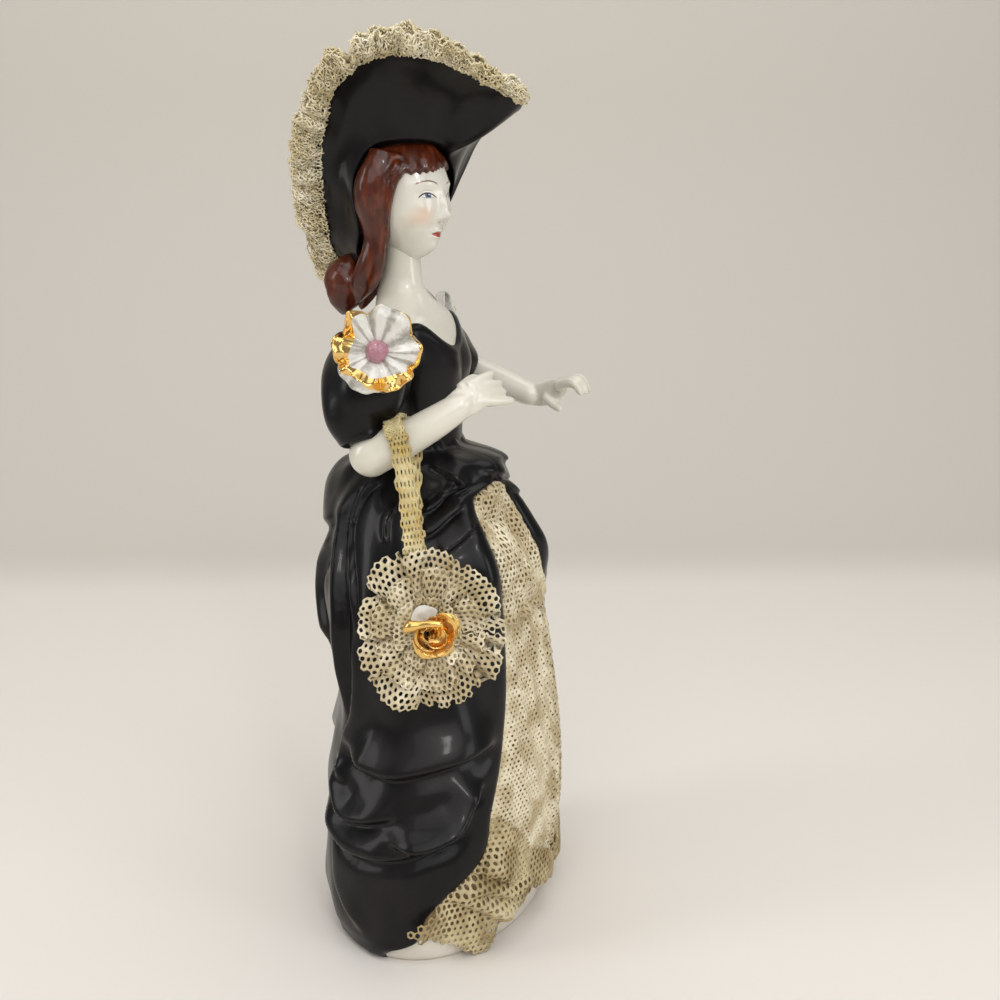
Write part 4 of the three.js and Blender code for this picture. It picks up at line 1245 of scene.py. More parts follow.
def brim_seat(around, share, grow):
    """A point on the grown hair between the top of the crown, share 0, and the brim's inner edge, 1."""
    edge = curve(RIM, around % 1, closed=True) - HAIR
    spoke = unit(edge - (edge @ CROWN_WAY)[..., None] * CROWN_WAY)
    tilt = np.radians(curve(np.array(SEAT_TILT)[:, None], around % 1, closed=True)[..., 0]) * share
    return on_hair(CROWN_WAY * np.cos(tilt)[..., None] + spoke * np.sin(tilt)[..., None], grow)


def brim_point(around, share):
    """A point of the brim: straight from its seat on the hair to the rim curve, hollowed towards the
    crown by a parabola, with a few long creases where it hangs behind her neck."""
    around, share = np.broadcast_arrays(around, share)
    edge = curve(RIM, around % 1, closed=True)
    ring = brim_seat(around, 1.0, BRIM_GAP + NAPE_GAP * bell((around - 0.545) / 0.06))
    tip = bell(((around + 0.5) % 1 - 0.5) / 0.03)
    behind = bell((around - 0.52) / 0.13)
    flute = np.sin(around * TURN * BRIM_FLUTES) * behind
    crease = 0.7 * np.sin(share * 11 + around * 9) * bell((around - 0.45) / 0.12) * share * (1 - share) * 2
    lines = 0.12 * wander(around * 10, share * 2, seed=8)
    dish = BRIM_DISH * (1 - tip) - PEAK_RIDGE * tip
    hollow = dish * 4 * share * (1 - share) + BRIM_FLUTE * share * flute + crease + lines
    sag = FLAP_SAG * bell((around - 0.56) / 0.05) * (0.45 + 2.2 * share * (1 - share))
    return ring + (edge - ring) * share[..., None] + CROWN_WAY * hollow[..., None] - UP * sag[..., None]


def brim():
    """The brim as a closed band: out along the underside, round the lip and back along the top."""
    around = np.arange(300)[None, :] / 300
    out = np.linspace(0, 1, 34) ** 0.85
    lip = np.linspace(-np.pi / 2, np.pi / 2, 7)[1:-1]
    share = np.concatenate([out, np.ones(len(lip)), out[::-1]])[:, None]
    side = np.concatenate([-np.ones(len(out)), np.sin(lip), np.ones(len(out))])[:, None]
    beyond = np.concatenate([np.zeros(len(out)), np.cos(lip), np.zeros(len(out))])[:, None]
    p = brim_point(around, share)
    onward = unit(brim_point(around, share + 0 * around) - brim_point(around, share - 0.1))
    half = BRIM_WALL / 2 * (1 - RIM_TAPER * share)
    return ring_band(p + onward * (beyond * LIP_ROUND)[..., None] + CROWN_WAY * (side * half)[..., None])


def crown():
    """The crown: the hair's ellipsoid grown by the wall, down to the brim, with a soft crease over it."""
    around = np.arange(160)[None, :] / 160
    share = np.concatenate([np.linspace(0.03, 0.97, 60), [0.985]])[:, None]
    around, share = np.broadcast_arrays(around, share)
    p = brim_seat(around, share, CROWN_WALL)
    way = unit(p - HAIR)
    across = unit(np.cross(CROWN_WAY, UP))
    over = way @ np.cross(across, CROWN_WAY)
    crease = CROWN_CREASE * bell(over / 0.28) * smooth(way @ CROWN_WAY, 0.5, 0.95)
    lumps = 0.12 * wander(way[..., 0] * 5, way[..., 1] * 5, seed=4)
    return loft(p + way * (lumps - crease)[..., None])


piece("picture_hat", joined([brim(), crown()]), BLACK, ["hat"])

# Fired net

ROOT_3 = 1.732
FACING_STEP = 0.05  # how far to each side of a point of cloth its surface is sampled for its facing


def honeycomb(width, height, pitch, keep=None, tall=1.0):
    """Six-sided cells over a rectangle of cloth: centres in staggered rows a pitch apart, kept where
    keep(x, y) is true, and stretched upwards to be tall. Returns corners (x, y) and faces."""
    rise = pitch * ROOT_3 / 2 * tall
    columns, rows = int(width / pitch), int(height / rise)
    j, i = np.mgrid[0:rows, 0:columns]
    x = (i + 0.5 + 0.5 * (j % 2)) * pitch
    y = (j + 0.5) * rise
    centres = np.stack([x.ravel(), y.ravel()], -1)
    if keep is not None:
        centres = centres[keep(centres[:, 0], centres[:, 1])]
    turn = np.radians(np.arange(6) * 60 + 30)
    corner = np.stack([np.cos(turn) / ROOT_3, np.sin(turn) / ROOT_3 * tall], -1) * pitch
    every = (centres[:, None] + corner[None]).reshape(-1, 2)
    keys = np.round(every / (pitch * 0.05)).astype(np.int64)
    _, first, inverse = np.unique(keys, axis=0, return_index=True, return_inverse=True)
    return every[first], inverse.reshape(-1, 6)


def net(corners, cells, surface, wire, seed, fuzz=0.1):
    """Cells carried onto a surface(x, y), jogged at random by the fuzz, and made into strands by a
    Wireframe modifier; a strand is some share of the wire thick, which wanders over the cloth."""
    dice = np.random.default_rng(seed)
    jog = dice.normal(scale=fuzz, size=(len(corners), 3))
    x, y = corners.T
    share = 0.85 + 0.25 * wander(x / 3, y / 3, seed=seed)
    share = np.clip(share + dice.normal(scale=0.05, size=len(x)), 0.3, 1)
    carrier = carried("net", (surface(x, y) + jog, [cells]))
    group = carrier.vertex_groups.new(name="wire")
    level = np.round(share, 1)
    for value in np.unique(level):
        group.add(np.flatnonzero(level == value).tolist(), float(value), "REPLACE")
    modifier = carrier.modifiers.new("strands", "WIREFRAME")
    modifier.thickness = wire * MM
    modifier.vertex_group = "wire"
    modifier.use_boundary = True
    modifier.use_even_offset = False
    return shell_of(applied(carrier))


def pierced(corners, cells, surface, opened, seed, fuzz=0.08, wall=0.45):
    """Cells carried onto a surface(x, y) as a sheet of six-sided plates, each with a hole: net whose
    strands slip has webbed together. The plates share their outer corners, which are jogged at random by
    the fuzz; opened(x, y) is a hole's width over its plate's; walls close the holes and the sheet's rim."""
    dice = np.random.default_rng(seed)
    middle = corners[cells].mean(1)
    share = np.clip(opened(*middle.T) + dice.normal(scale=0.05, size=len(middle)), 0.1, 0.8)
    hole = middle[:, None] + (corners[cells] - middle[:, None]) * share[:, None, None]
    jog = dice.normal(scale=fuzz, size=(len(corners), 3))
    hole_jog = np.repeat(jog[cells].mean(1), 6, axis=0)
    x, y = np.concatenate([corners, hole.reshape(-1, 2)]).T
    along_x = surface(x + FACING_STEP, y) - surface(x - FACING_STEP, y)
    along_y = surface(x, y + FACING_STEP) - surface(x, y - FACING_STEP)
    out = unit(np.cross(along_y, along_x)) * wall / 2
    points = surface(x, y) + np.concatenate([jog, hole_jog])
    below = len(points)
    a, b = cells, np.roll(cells, -1, axis=1)
    c = len(corners) + np.arange(cells.size).reshape(-1, 6)
    d = np.roll(c, -1, axis=1)
    shared = set(zip(b.ravel().tolist(), a.ravel().tolist()))
    free = [side not in shared for side in zip(a.ravel().tolist(), b.ravel().tolist())]
    e, f = a.ravel()[free], b.ravel()[free]
    quads = [
        np.stack([a, c, d, b], -1).reshape(-1, 4),
        np.stack([a, b, d, c], -1).reshape(-1, 4) + below,
        np.stack([d, c, c + below, d + below], -1).reshape(-1, 4),
        np.stack([e, f, f + below, e + below], -1),
    ]
    return np.concatenate([points + out, points - out]), quads


JABOT_FOOT, JABOT_TOP = 88, 124.5
FLOUNCE_ROWS = [  # angle, height of the flounce's free edge, of the fold that lies over it, of its top
    (-95, 13, 24, 28),
    (-80, 10.5, 22, 26),
    (-62, 5, 18, 22),
    (-48, 3, 14, 18),
    (-30, 8, 12, 16),
    (-12, 7.5, 11, 15),
    (0, 9.5, 11, 15.5),
    (11, 11, 11, 18.5),
    (18, 8.5, 13, 22),
    (24, 9, 15, 26),
    (33, 11.5, 18, 33),
    (38, 8, 20, 35),
    (43, 0.6, 23, 37),
    (50, 1.2, 24, 38),
    (66, 7, 26, 40),
    (75, 9.5, 28, 42),
    (84, 11.5, 30, 44),
    (95, 14, 32, 46),
]
NET_REACH = 95  # the widest angle that net in the opening reaches, in degrees


def opening_surface(low, lift, fullness, tuck=7, spill=None):
    """Where cloth in the opening lies: place(x, y), its angle and height, and surface(x, y), its point.
    Cloth x runs round the gown and y up from the low height; fullness gathers more cloth into the width;
    the lift falls off over the last tuck degrees beside the drapes, but where spill(angle, height) is 1
    the net lies over the drape's edge."""

    def place(x, y):
        return (x / fullness - NET_REACH * PER_DEGREE) / PER_DEGREE, low + y

    def surface(x, y):
        angle, height = place(x, y)
        inwards = -outside(angle, height)
        spilled = 0 * angle if spill is None else spill(angle, height)
        tucked = np.maximum(0.3 + 0.7 * smooth(inwards, 0, tuck), spilled)
        shaped = drapery(angle, height) * ((inwards > 0) | (spilled > 0)) + lift(angle, height) * tucked
        over_edge = (OVERSKIRT_STEP + 0.4) * spilled * smooth(-inwards, -4, 0)
        return gown_point(angle, height, shaped + over_edge)

    return place, surface


def opening_net(low, high, pitch, seed, lift, keep, opened=None, wire=None, fullness=1.0, **laid):
    """Net in the opening of the overskirt between two heights, laid as opening_surface says. It is
    pierced with holes opened(angle, height) wide, or with a wire thickness made of plain strands."""
    width = 2 * NET_REACH * PER_DEGREE * fullness
    place, surface = opening_surface(low, lift, fullness, **laid)
    corners, cells = honeycomb(width, high - low, pitch, lambda x, y: keep(*place(x, y)))
    if wire is not None:
        return net(corners, cells, surface, wire, seed)
    return pierced(corners, cells, surface, lambda x, y: opened(*place(x, y)), seed)


def panel_net():
    """Net laid over the underskirt, nearly webbed shut with slip: slack in soft creases that lean to her
    right as they rise, with a ragged frill down her left."""

    def lift(angle, height):
        """Sharp-crested creases that lean, stronger on her right, over a slow wander."""
        lean = angle / 8.5 - height / 34 + 0.35 * wander(angle / 20, height / 40, seed=14)
        ridge = 1 - 2 * np.abs(lean % 1 - 0.5)
        creases = (0.5 + 0.5 * smooth(-angle, -20, 5)) * ridge**3
        return SEAT + 0.9 + creases + 0.2 * wander(angle / 12, height / 22, seed=12)

    def opened(angle, height):
        """Narrower where slip has webbed the holes: in clouds and down both sides."""
        webbed = smooth(wander(angle / 16, height / 26, seed=15), -0.2, 0.6)
        webbed = webbed + smooth(outside(angle, height), -6, -1)
        return 0.47 - 0.2 * webbed + 0.15 * smooth(-angle, -18, 5)

    def inside(angle, height):
        """Between the drapes and above the flounce."""
        return (outside(angle, height) < 1.6) & (height > along(FLOUNCE_ROWS, 3, angle) - 5)

    def frill_lift(angle, height):
        """A rough crumple, proud of the panel."""
        return SEAT + 1.9 + 0.5 * wander(height / 1.7, angle / 3, seed=2) + 0.4 * wander(height / 0.7, seed=5)

    def beside_edge(angle, height):
        """A ragged strip along the left drape."""
        centre = -along(EDGE_ROWS, 2, height) + 5
        return np.abs(angle - centre) < 3.6 + 1.6 * wander(height / 1.6, seed=6)

    flat = opening_net(8, JABOT_FOOT + 4, 1.4, 11, lift, inside, opened)
    frill = opening_net(22, JABOT_FOOT + 8, 1.15, 13, frill_lift, beside_edge, wire=0.9)
    return joined([flat, frill])


def jabot_net():
    """Two crumpled layers of net that fill the top of the opening in soft puffs with dark folds between
    them; slip webs the holes on the puffs' crests."""

    def crumple(base, tall, seed):
        """A layer's lift: puffs with sharp valleys, and a finer crumple, lower towards her left."""

        def lift(angle, height):
            puffs = np.abs(wander(angle / 9, height / 6.5, seed=seed, octaves=1)) ** 0.7
            crumpled = 1.5 * puffs + 0.3 * wander(angle / 4, height / 3, seed=seed + 2)
            return SEAT + base + tall * (1 - 0.7 * smooth(-angle, -8, 14)) * crumpled

        return lift

    def inside(angle, height):
        """Between the drapes, and a little under them."""
        return outside(angle, height) < 0.6

    def opened(angle, height):
        """Wide holes, webbed narrower in clouds."""
        return 0.6 - 0.3 * smooth(wander(angle / 8, height / 5, seed=26), -0.1, 0.7)

    shared = {"keep": inside, "opened": opened, "tuck": 5}
    low, high = crumple(0.8, 0.5, 22), crumple(1.4, 3.8, 24)
    under = opening_net(JABOT_FOOT - 2, JABOT_TOP, 1.6, 21, low, fullness=1.1, **shared)
    over = opening_net(JABOT_FOOT, JABOT_TOP, 1.6, 23, high, fullness=1.25, **shared)
    return joined([under, over])


FLOUNCE_CREASES = [
    ([(28, 7), (33, 6.5), (47, 13), (58, 17), (66, 18.5), (76, 16)], 2.6, 4),
    ([(12, 12), (24, 14), (31, 13.5), (48, 18.5), (58, 18)], 1.6, 3),
]


def flounce_net():
    """Two gathered strips round the hem: a long one in wide flutes with two deep creases, cut ragged at
    its free edge, and a fold over its top that climbs to her right."""

    def flutes(base, deep, count, seed):
        """A strip's lift: a sine wave round the gown that wanders, deeper and prouder at the foot."""

        def lift(angle, height):
            free = 1 - smooth(height, 6, 26)
            wave = np.sin(angle * count + height * 0.12 + 1.8 * wander(angle / 18, height / 26, seed=seed))
            return SEAT + base + (0.5 + 0.9 * free) * deep * wave + free * 0.8

        return lift

    def creased(angle, height):
        """The long strip: flutes and the two creases, never below the underskirt."""
        folded = sum(fold_height(fold, angle, height) for fold in FLOUNCE_CREASES)
        flute_shade = flutes(1.3, 0.9, 0.17, 32)(angle, height)
        return np.maximum(flute_shade + np.maximum(folded, -0.8), SEAT + 0.4)

    def pouched(angle, height):
        """The fold over it: flutes and a pouch beside her right drape."""
        above = (height - along(FLOUNCE_ROWS, 2, angle)) / 4
        pouch = 2.0 * bell((angle - 36) / 16) * bell(above - 0.6)
        return flutes(2.0, 1.0, 0.13, 34)(angle, height) + pouch

    def spill(angle, height):
        """1 where the strip's tail lies over the right drape, near the foot."""
        return smooth(-height, -18, -15.5) * (angle > 0)

    def strip(low_column, top_column):
        """What is kept between two columns of the rows, cut ragged, with a tail over the right drape."""

        def keep(angle, height):
            ragged = 0.6 * wander(angle / 2.2, seed=35 + low_column)
            above = height > along(FLOUNCE_ROWS, low_column, angle) + ragged
            under_top = height < along(FLOUNCE_ROWS, top_column, angle) + 1.5 + ragged
            tail = 9 * smooth(-height, -16.5, -9.5) * (angle > 0)
            return above & under_top & (outside(angle, height) < 1 + tail)

        return keep

    def opened(angle, height):
        """Wide holes, narrower in clouds."""
        return 0.62 - 0.2 * smooth(wander(angle / 14, height / 9, seed=36), 0, 0.7)

    under = opening_net(0.8, 40, 1.9, 31, creased, strip(1, 3), opened, fullness=1.1, spill=spill)
    over = opening_net(9, 44, 1.75, 33, pouched, strip(2, 3), opened, fullness=1.15)
    return joined([under, over])


piece("front_net", panel_net(), CREAM, ["front_net_panel"])
piece("net_jabot_crumpled", jabot_net(), CREAM, ["net_jabot"])
piece("hem_flounce", flounce_net(), HEM_CREAM, ["hem_net_flounce"])

TRIM_START, TRIM_END = 0.006, 0.6  # where the trim lies, as shares of the way round the rim
TRIM_LENGTH, TRIM_WIDTH = 116, 7.9
TRIM_FULLNESS = 1.7  # how much cloth is gathered into the length
TRIM_NOTCH, TRIM_CURL = 0.442, 0.48  # where the two strips meet and where one curls, over her ear


def hat_trim_net():
    """Woolly net gathered along the rim in three layers: cloth x runs along the rim and y outwards.
    Soft folds cross the band, the outer edge is uneven, and two strips meet in a notch over her ear."""
    cloth = TRIM_LENGTH * TRIM_FULLNESS

    def surface_of(lean, seed):
        """A layer's surface: out from the rim by y, narrower at the tip and the notch, leaning across the
        brim, with folds as a wandering sine wave along it."""

        def surface(x, y):
            share = x / cloth
            around = TRIM_START + (TRIM_END - TRIM_START) * share
            edge = brim_point(around, np.ones_like(around))
            outward = unit(edge - brim_point(around, 0.8 + 0 * around))
            tangent = unit(brim_point(around + 0.004, np.ones_like(around)) - edge)
            across = unit(np.cross(tangent, outward))
            across = across * np.sign(across @ CROWN_WAY)[:, None]
            near_tip = 0.5 + 0.5 * smooth(share, 0, 0.25)
            notch = 1 - 0.85 * bell((share - TRIM_NOTCH) / 0.015) + 0.18 * bell((share - TRIM_CURL) / 0.022)
            fold = 0.8 * np.sin(x * 0.5 + 3.2 * wander(x / 7, seed=seed))
            fold = fold + 0.5 * wander(x / 1.4, y / 1.2, seed=seed + 1)
            uneven = 1 + 0.13 * wander(x / 9, seed=48) + 0.08 * wander(x / 2.2, seed=seed + 2)
            reach = near_tip * notch * uneven * (y - 0.9)
            spread = lean * (0.5 + 0.9 * smooth(y, 0, 4) - 0.8 * smooth(y, 5, 8))
            return edge + outward * reach[:, None] + across * (spread + fold * smooth(y, 0, 3))[:, None]

        return surface

    layers = []
    for lean, seed in ((-1.5, 41), (0.0, 43), (1.5, 45)):
        corners, cells = honeycomb(cloth, TRIM_WIDTH, 1.14)
        layers.append(net(corners, cells, surface_of(lean, seed), 0.72, seed, 0.24))
    return joined(layers)


piece("hat_net_gathered", hat_trim_net(), PALE_GOLD, ["hat_net_trim"])

# Net bag and its strap

BAG_CENTRE = np.array([-39.4, -10.4, 91.6])
BAG_AXES = axes_round([-0.955, -0.28, 0.1])
BAG_NARROW = 0.875  # width of the bag over its height


def ruffle(lobes, inner, outer, lifts, phase, seed, pitch):
    """A ring of net gathered into overlapping fans: cloth x runs round and y outwards. Each fan's rim is
    a ragged arc, its cloth rises outwards, and it leans so that one side lies over the next fan.
    The lifts are how far the ring lies out, how much it rises and how much the fans lean."""
    base, deep, lean = lifts
    around = TURN * outer * 0.95
    reach = outer - inner

    def surface(x, y):
        turn = x / around * TURN
        uneven = turn + 0.2 * np.sin(2 * turn + phase) + 0.12 * np.sin(3 * turn + 2 * phase)
        share = np.clip(y / reach, 0, 1.02)
        place = uneven * lobes / TURN + phase
        across = place % 1 * 2 - 1
        which = np.floor(place) % lobes
        arc = np.sqrt(np.clip(1 - across**2, 0, 1))
        bigger = 0.05 * np.sin(which * 2.4 + seed)
        rim = outer * (0.87 + bigger + 0.09 * arc + 0.02 * wander(turn * 9, seed=seed))
        radius = inner + (rim - inner) * share
        crumple = 1.1 * share * np.sin(4.5 * across + 3 * share + which * 1.7)
        crumple = crumple + 0.5 * wander(x / 3.4, y / 3.4, seed=seed + 1)
        lift = base + share * (deep * (0.1 + 0.9 * arc) + lean * across) + crumple
        return BAG_CENTRE + framed(BAG_AXES, radius * np.cos(turn) * BAG_NARROW, radius * np.sin(turn), lift)

    def opened(x, y):
        """Holes that wander in width and are webbed towards the heart."""
        return 0.58 + 0.07 * wander(x / 3, y / 3, seed=seed) - 0.2 * (1 - smooth(y / reach, 0.1, 0.5))

    def uncut(x, y):
        """True inside a ragged outer edge."""
        return y < reach * (0.95 + 0.06 * wander(x / 1.6, seed=seed + 4))

    corners, cells = honeycomb(around, reach, pitch, uncut)
    return pierced(corners, cells, surface, opened, seed, fuzz=0.14, wall=0.5)


def bag_net():
    """Three rings of fans, each smaller and prouder than the last, round the rose."""
    return joined([
        ruffle(9, 3, 23.2, (-1.6, 2.2, 2.3), 0.35, 51, 2.05),
        ruffle(7, 3, 17.6, (-0.2, 1.9, 1.8), 1.2, 54, 2.0),
        ruffle(5, 2.6, 11.2, (1.2, 3.2, 1.0), 3.3, 53, 1.75),
    ])


piece("net_bag_rosette", bag_net(), CREAM, ["net_bag"])


STRAP_FOOT = BAG_CENTRE + (1.6, 4, 19.53)
STRAP_GAP = 1.3  # between the strap's two runs at the foot
STRAP_WIDTH = 5.6


def strap_path():
    """The strap's two runs from the bag's top and its turn over the forearm."""
    arm = np.array([row[:3] for row in ARMS["right"]["arm"]])
    middle = arm[1] + (arm[2] - arm[1]) * 0.07
    way = unit(arm[2] - arm[0])
    outer = np.array([-1.0, 0, 0])
    outer = unit(outer - (outer @ way) * way)
    top = np.cross(way, outer)
    top = top * np.sign(top[2])
    clear = ARMS["right"]["arm"][1][3] + 2 * SEAT + 0.55
    belly = STRAP_FOOT + (middle - STRAP_FOOT) * 0.4
    turns = np.radians([95, 60, 30, 0, -30, -60, -95])
    over = [middle + outer * clear * np.sin(a) + top * clear * np.cos(a) for a in turns]
    apart = outer * STRAP_GAP / 2
    path = [STRAP_FOOT + apart, belly + outer * 1.5, *over, belly - outer * 1.5, STRAP_FOOT - apart]
    return np.array(path), way


def strap_net():
    """A ribbon of net with long cells on the strap's path, in two crumpled layers, cupped across."""
    path, way = strap_path()
    length = np.linalg.norm(np.diff(curve(path, np.linspace(0, 1, 200)), axis=0), axis=1).sum()

    def surface_of(rise, seed):
        """A layer's surface: x across the path and y along it, cupped as a cosine, narrower over the arm."""

        def surface(x, y):
            t = np.clip(y / length, 0, 1)
            p = curve(path, t)
            ahead = unit(curve(path, np.clip(t + 0.004, 0, 1)) - curve(path, np.clip(t - 0.004, 0, 1)))
            side = unit(way - (ahead @ way)[:, None] * ahead)
            out = np.cross(ahead, side)
            w = (x - STRAP_WIDTH / 2) * (1 - 0.14 * bell((t - 0.5) / 0.16))
            cup = rise + 0.3 * np.cos(w) + 0.14 * wander(y / 3, x, seed=seed)
            return p + side * (w + 0.15 * wander(y / 4, seed=seed))[:, None] + out * cup[:, None]

        return surface

    def opened(x, y):
        """Holes that wander in width."""
        return 0.46 + 0.12 * wander(x / 2, y / 3, seed=64)

    layers = []
    for rise, seed in ((-0.3, 61), (0.4, 62)):
        corners, cells = honeycomb(STRAP_WIDTH, length, 0.98, tall=1.5)
        layers.append(pierced(corners, cells, surface_of(rise, seed), opened, seed, 0.12, 0.35))
    return joined(layers)


piece("strap_net", strap_net(), STRAP_GOLD, ["bag_strap"])

# Flowers

def cup_of_petals(radius, depth, seed, turned_back, gilt):
    """Six petals in one ruffled cup, as distances across, up and out from its middle, with its gilt note
    and its flute note, which paints shade along the flutes. From the heart outwards the cup rises and its lip
    rolls over; round it the rim swells at each petal and waves up and down, and fine flutes run out from the
    heart. The gilt on the lip is wider at each (degrees, width), and the lip is folded back at one place,
    given in degrees."""
    turn = np.linspace(0, TURN, 289)[None, :-1]
    face, lip, behind = np.linspace(0.12, 1, 52), [1.03, 1.035, 1.02], np.linspace(0.99, 0.16, 24)
    out = np.concatenate([face, lip, behind])[:, None]
    back = np.concatenate([np.zeros(len(face)), [0.3, 0.6, 0.9], np.ones(len(behind))])[:, None]
    wobble = turn + 0.16 * np.sin(2 * turn + seed) + 0.08 * np.sin(5 * turn + 2 * seed)
    petal = np.abs(np.cos(3 * wobble)) ** 0.7
    rim = radius * (0.87 + 0.11 * petal + 0.02 * np.sin(9 * turn + seed) + 0.012 * np.sin(17 * turn + 1))
    degrees = np.degrees(turn)
    cup = depth * (1.05 * out**1.5 - 0.34 * smooth(out, 0.78, 1.0))
    wave = 0.28 * np.sin(6 * wobble + 1.2) + 0.2 * np.sin(9 * turn + seed) + 0.08 * np.sin(14 * turn)
    seam = -0.3 * depth * (1 - petal) ** 2 * smooth(out, 0.25, 0.8)
    ridge = 1 - 0.22 * bell(past(degrees, turned_back) / 24)
    fold = -0.55 * depth * smooth(out - ridge, 0, 0.24)
    rays = 9 * wobble + 2.2 * np.sin(3 * turn + seed) + 1.2 * np.sin(5 * turn)
    flutes = 0.08 * np.sin(rays) * bell((out - 0.5) / 0.22) * (1 - back)
    lift = cup + depth * out**3 * wave + seam + fold + flutes - back - 0.8
    width = 0.05 + sum(wide * bell(past(degrees, place) / 34) for place, wide in gilt)
    gilded = smooth(out + width - ridge, -0.07, 0.07) * (1 - smooth(back, 0.7, 1))
    gilded = gilded * (1 - smooth(out - ridge, 0.03, 0.06))
    # the flute note: painted shade that rises and falls with the flutes
    flute_shade = 0.5 + 0.5 * np.sin(rays) + 0 * out
    return (out * rim * np.cos(turn), out * rim * np.sin(turn), lift), gilded, flute_shade


def boss(radius, depth, seed):
    """The lumpy knob in a flower's heart, as distances across, up and out from its middle."""
    turn = np.linspace(0, TURN, 49)[None, :-1]
    up = np.linspace(-0.4, np.pi / 2, 16)[:-1, None]
    knob = radius * 0.255 * (1 + 0.16 * wander(np.cos(turn) * 4, np.sin(turn) * 4, up * 4, seed=seed))
    out = 0.1 * depth + knob * 0.75 * np.sin(up)
    return knob * np.cos(up) * np.cos(turn), knob * np.cos(up) * np.sin(turn), out


def flower(centre, facing, seed, turned_back, gilt):
    """A flower's cup and boss, and the notes that paint them: the rim is 1 on the gilt part of the lip,
    the boss 1 on the knob, and the flute note, for painted shade, rises and falls with the flutes."""
    axes = axes_round(facing)
    cup, gilded, flute_shade = cup_of_petals(FLOWER_RADIUS, FLOWER_DEPTH, seed, turned_back, gilt)
    knob = boss(FLOWER_RADIUS, FLOWER_DEPTH, seed)
    shells = [loft(np.array(centre) + framed(axes, *places)) for places in (cup, knob)]
    cup_size, knob_size = (len(points) for points, _ in shells)
    notes = {
        "rim": np.concatenate([gilded.ravel(), np.zeros(2 + knob_size)]),
        "boss": np.concatenate([np.zeros(cup_size), np.ones(knob_size)]),
        "flute": np.concatenate([flute_shade.ravel(), np.full(2 + knob_size, 0.5)]),
    }
    return joined(shells), notes


FLOWER_RADIUS, FLOWER_DEPTH = 11, 5
FLOWERS = {
    "right": {
        "centre": (-35.4, 4, 161.2),
        "facing": (-0.9, -0.36, 0.24),
        "seed": 1,
        "turned_back": 238,
        "gilt": [(165, 0.38), (228, 0.14), (292, 0.3), (76, -0.08)],
    },
    "left": {
        "centre": (33.6, 17.6, 161.4),
        "facing": (0.52, 0.6, 0.6),
        "seed": 2,
        "turned_back": 100,
        "gilt": [(30, 0.3), (180, 0.2), (300, 0.28)],
    },
}
for hand, form in FLOWERS.items():
    shell, notes = flower(**form)
    piece(f"{hand}_shoulder_petals", shell, PETALS, [f"{hand}_shoulder_flower"], notes)


def petal_sheet(centre, way, spread, inner, reach, tall, curl, wall=0.42):
    """A petal on the bag: a sheet from the inner radius out over its reach, wrapped over the spread in
    radians round its way; it rises steeply and its lip rolls outwards and down."""
    v = np.linspace(0, 1, 26)[:, None]
    u = np.linspace(-1, 1, 40)[None, :]
    full = 1 - 0.28 * np.abs(u) ** 3 + 0.05 * np.cos(5 * u)
    s = v * full
    turn = way + u * spread / 2 * (0.75 + 0.35 * s)

    def sheet(inset):
        """The petal's face, or its back at the wall's inset."""
        radius = inner + reach * s**1.6 - inset * (1 - 0.5 * s)
        height = tall * (1.25 * s - 0.25 * s**2) - curl * smooth(s, 0.72, 1) ** 2 - 0.5 * inset * s
        height = height + 0.18 * np.sin(6 * u + way)
        return centre + framed(BAG_AXES, radius * np.cos(turn), radius * np.sin(turn), height)

    return slab(sheet(0), sheet(wall)), s


ROSE_PETALS = [  # way in degrees, spread, inner radius, reach, height, curl, how far aside it stands
    (0, 6.2, 0.6, 4.4, 1.4, 0.2, 0),
    (30, 6.1, 1.5, -1.1, 5.6, 0, 0),
    (150, 3.6, 1.8, 0.2, 5.1, 0.3, 0.7),
    (330, 3.8, 2.4, 0.5, 4.6, 0.4, 0.7),
    (200, 3, 3, 1, 4.2, 0.5, 0.7),
    (38, 1.5, 3.2, 4.1, 5.4, 0.9, 0),
    (240, 1.9, 3.2, 3, 3.6, 0.7, 0),
    (312, 1.5, 3.2, 2.8, 3.8, 0.7, 0),
    (118, 1.3, 3.6, 4.2, 2.6, 0.3, 0),
]
ROSE_ROLL = [  # across, up and out from the rose's middle, and radius, along a rolled petal beside it
    (-7, 1.4, 3.4, 1.0),
    (-5.6, 2.4, 3.8, 1.5),
    (-3, 2.9, 4.4, 1.0),
    (0, 3.3, 4.9, 0.9),
    (2.6, 3.1, 5, 0.7),
]


def rose():
    """A hand-built rose: curled petals in the middle, wrapped round each other, open ones about, the last
    of them left white, and a rolled one. The hollow note is 1 deep on a petal's inside."""
    across, rise, facing = BAG_AXES
    centre = BAG_CENTRE + facing * 1.6 + across * 1.4
    shells, hollows, plains = [], [], []
    for way, spread, inner, reach, tall, curl, aside in ROSE_PETALS:
        turn = np.radians(way)
        middle = centre + aside * (across * np.cos(turn) + rise * np.sin(turn))
        shell, s = petal_sheet(middle, turn, spread, inner, reach, tall, curl)
        shells.append(shell)
        hollows.append(np.concatenate([0.2 + 0 * s.ravel(), (1 - 0.8 * s).ravel()]))
        plains.append(np.zeros(len(shell[0])))
    plains[-1] = plains[-1] + 1
    roll = np.array(ROSE_ROLL)
    middles = centre + framed(BAG_AXES, *roll.T[:3])
    shells.append(loft(tube(np.column_stack([middles, roll[:, 3]]), 24, 40, rounded=0.1)))
    for note in (hollows, plains):
        note.append(np.zeros(len(shells[-1][0])))
    return joined(shells), {"hollow": np.concatenate(hollows), "plain": np.concatenate(plains)}


rose_shell, rose_notes = rose()
piece("bag_rose_petals", rose_shell, GILT, ["bag_rose"], rose_notes)

# Floor, light and camera

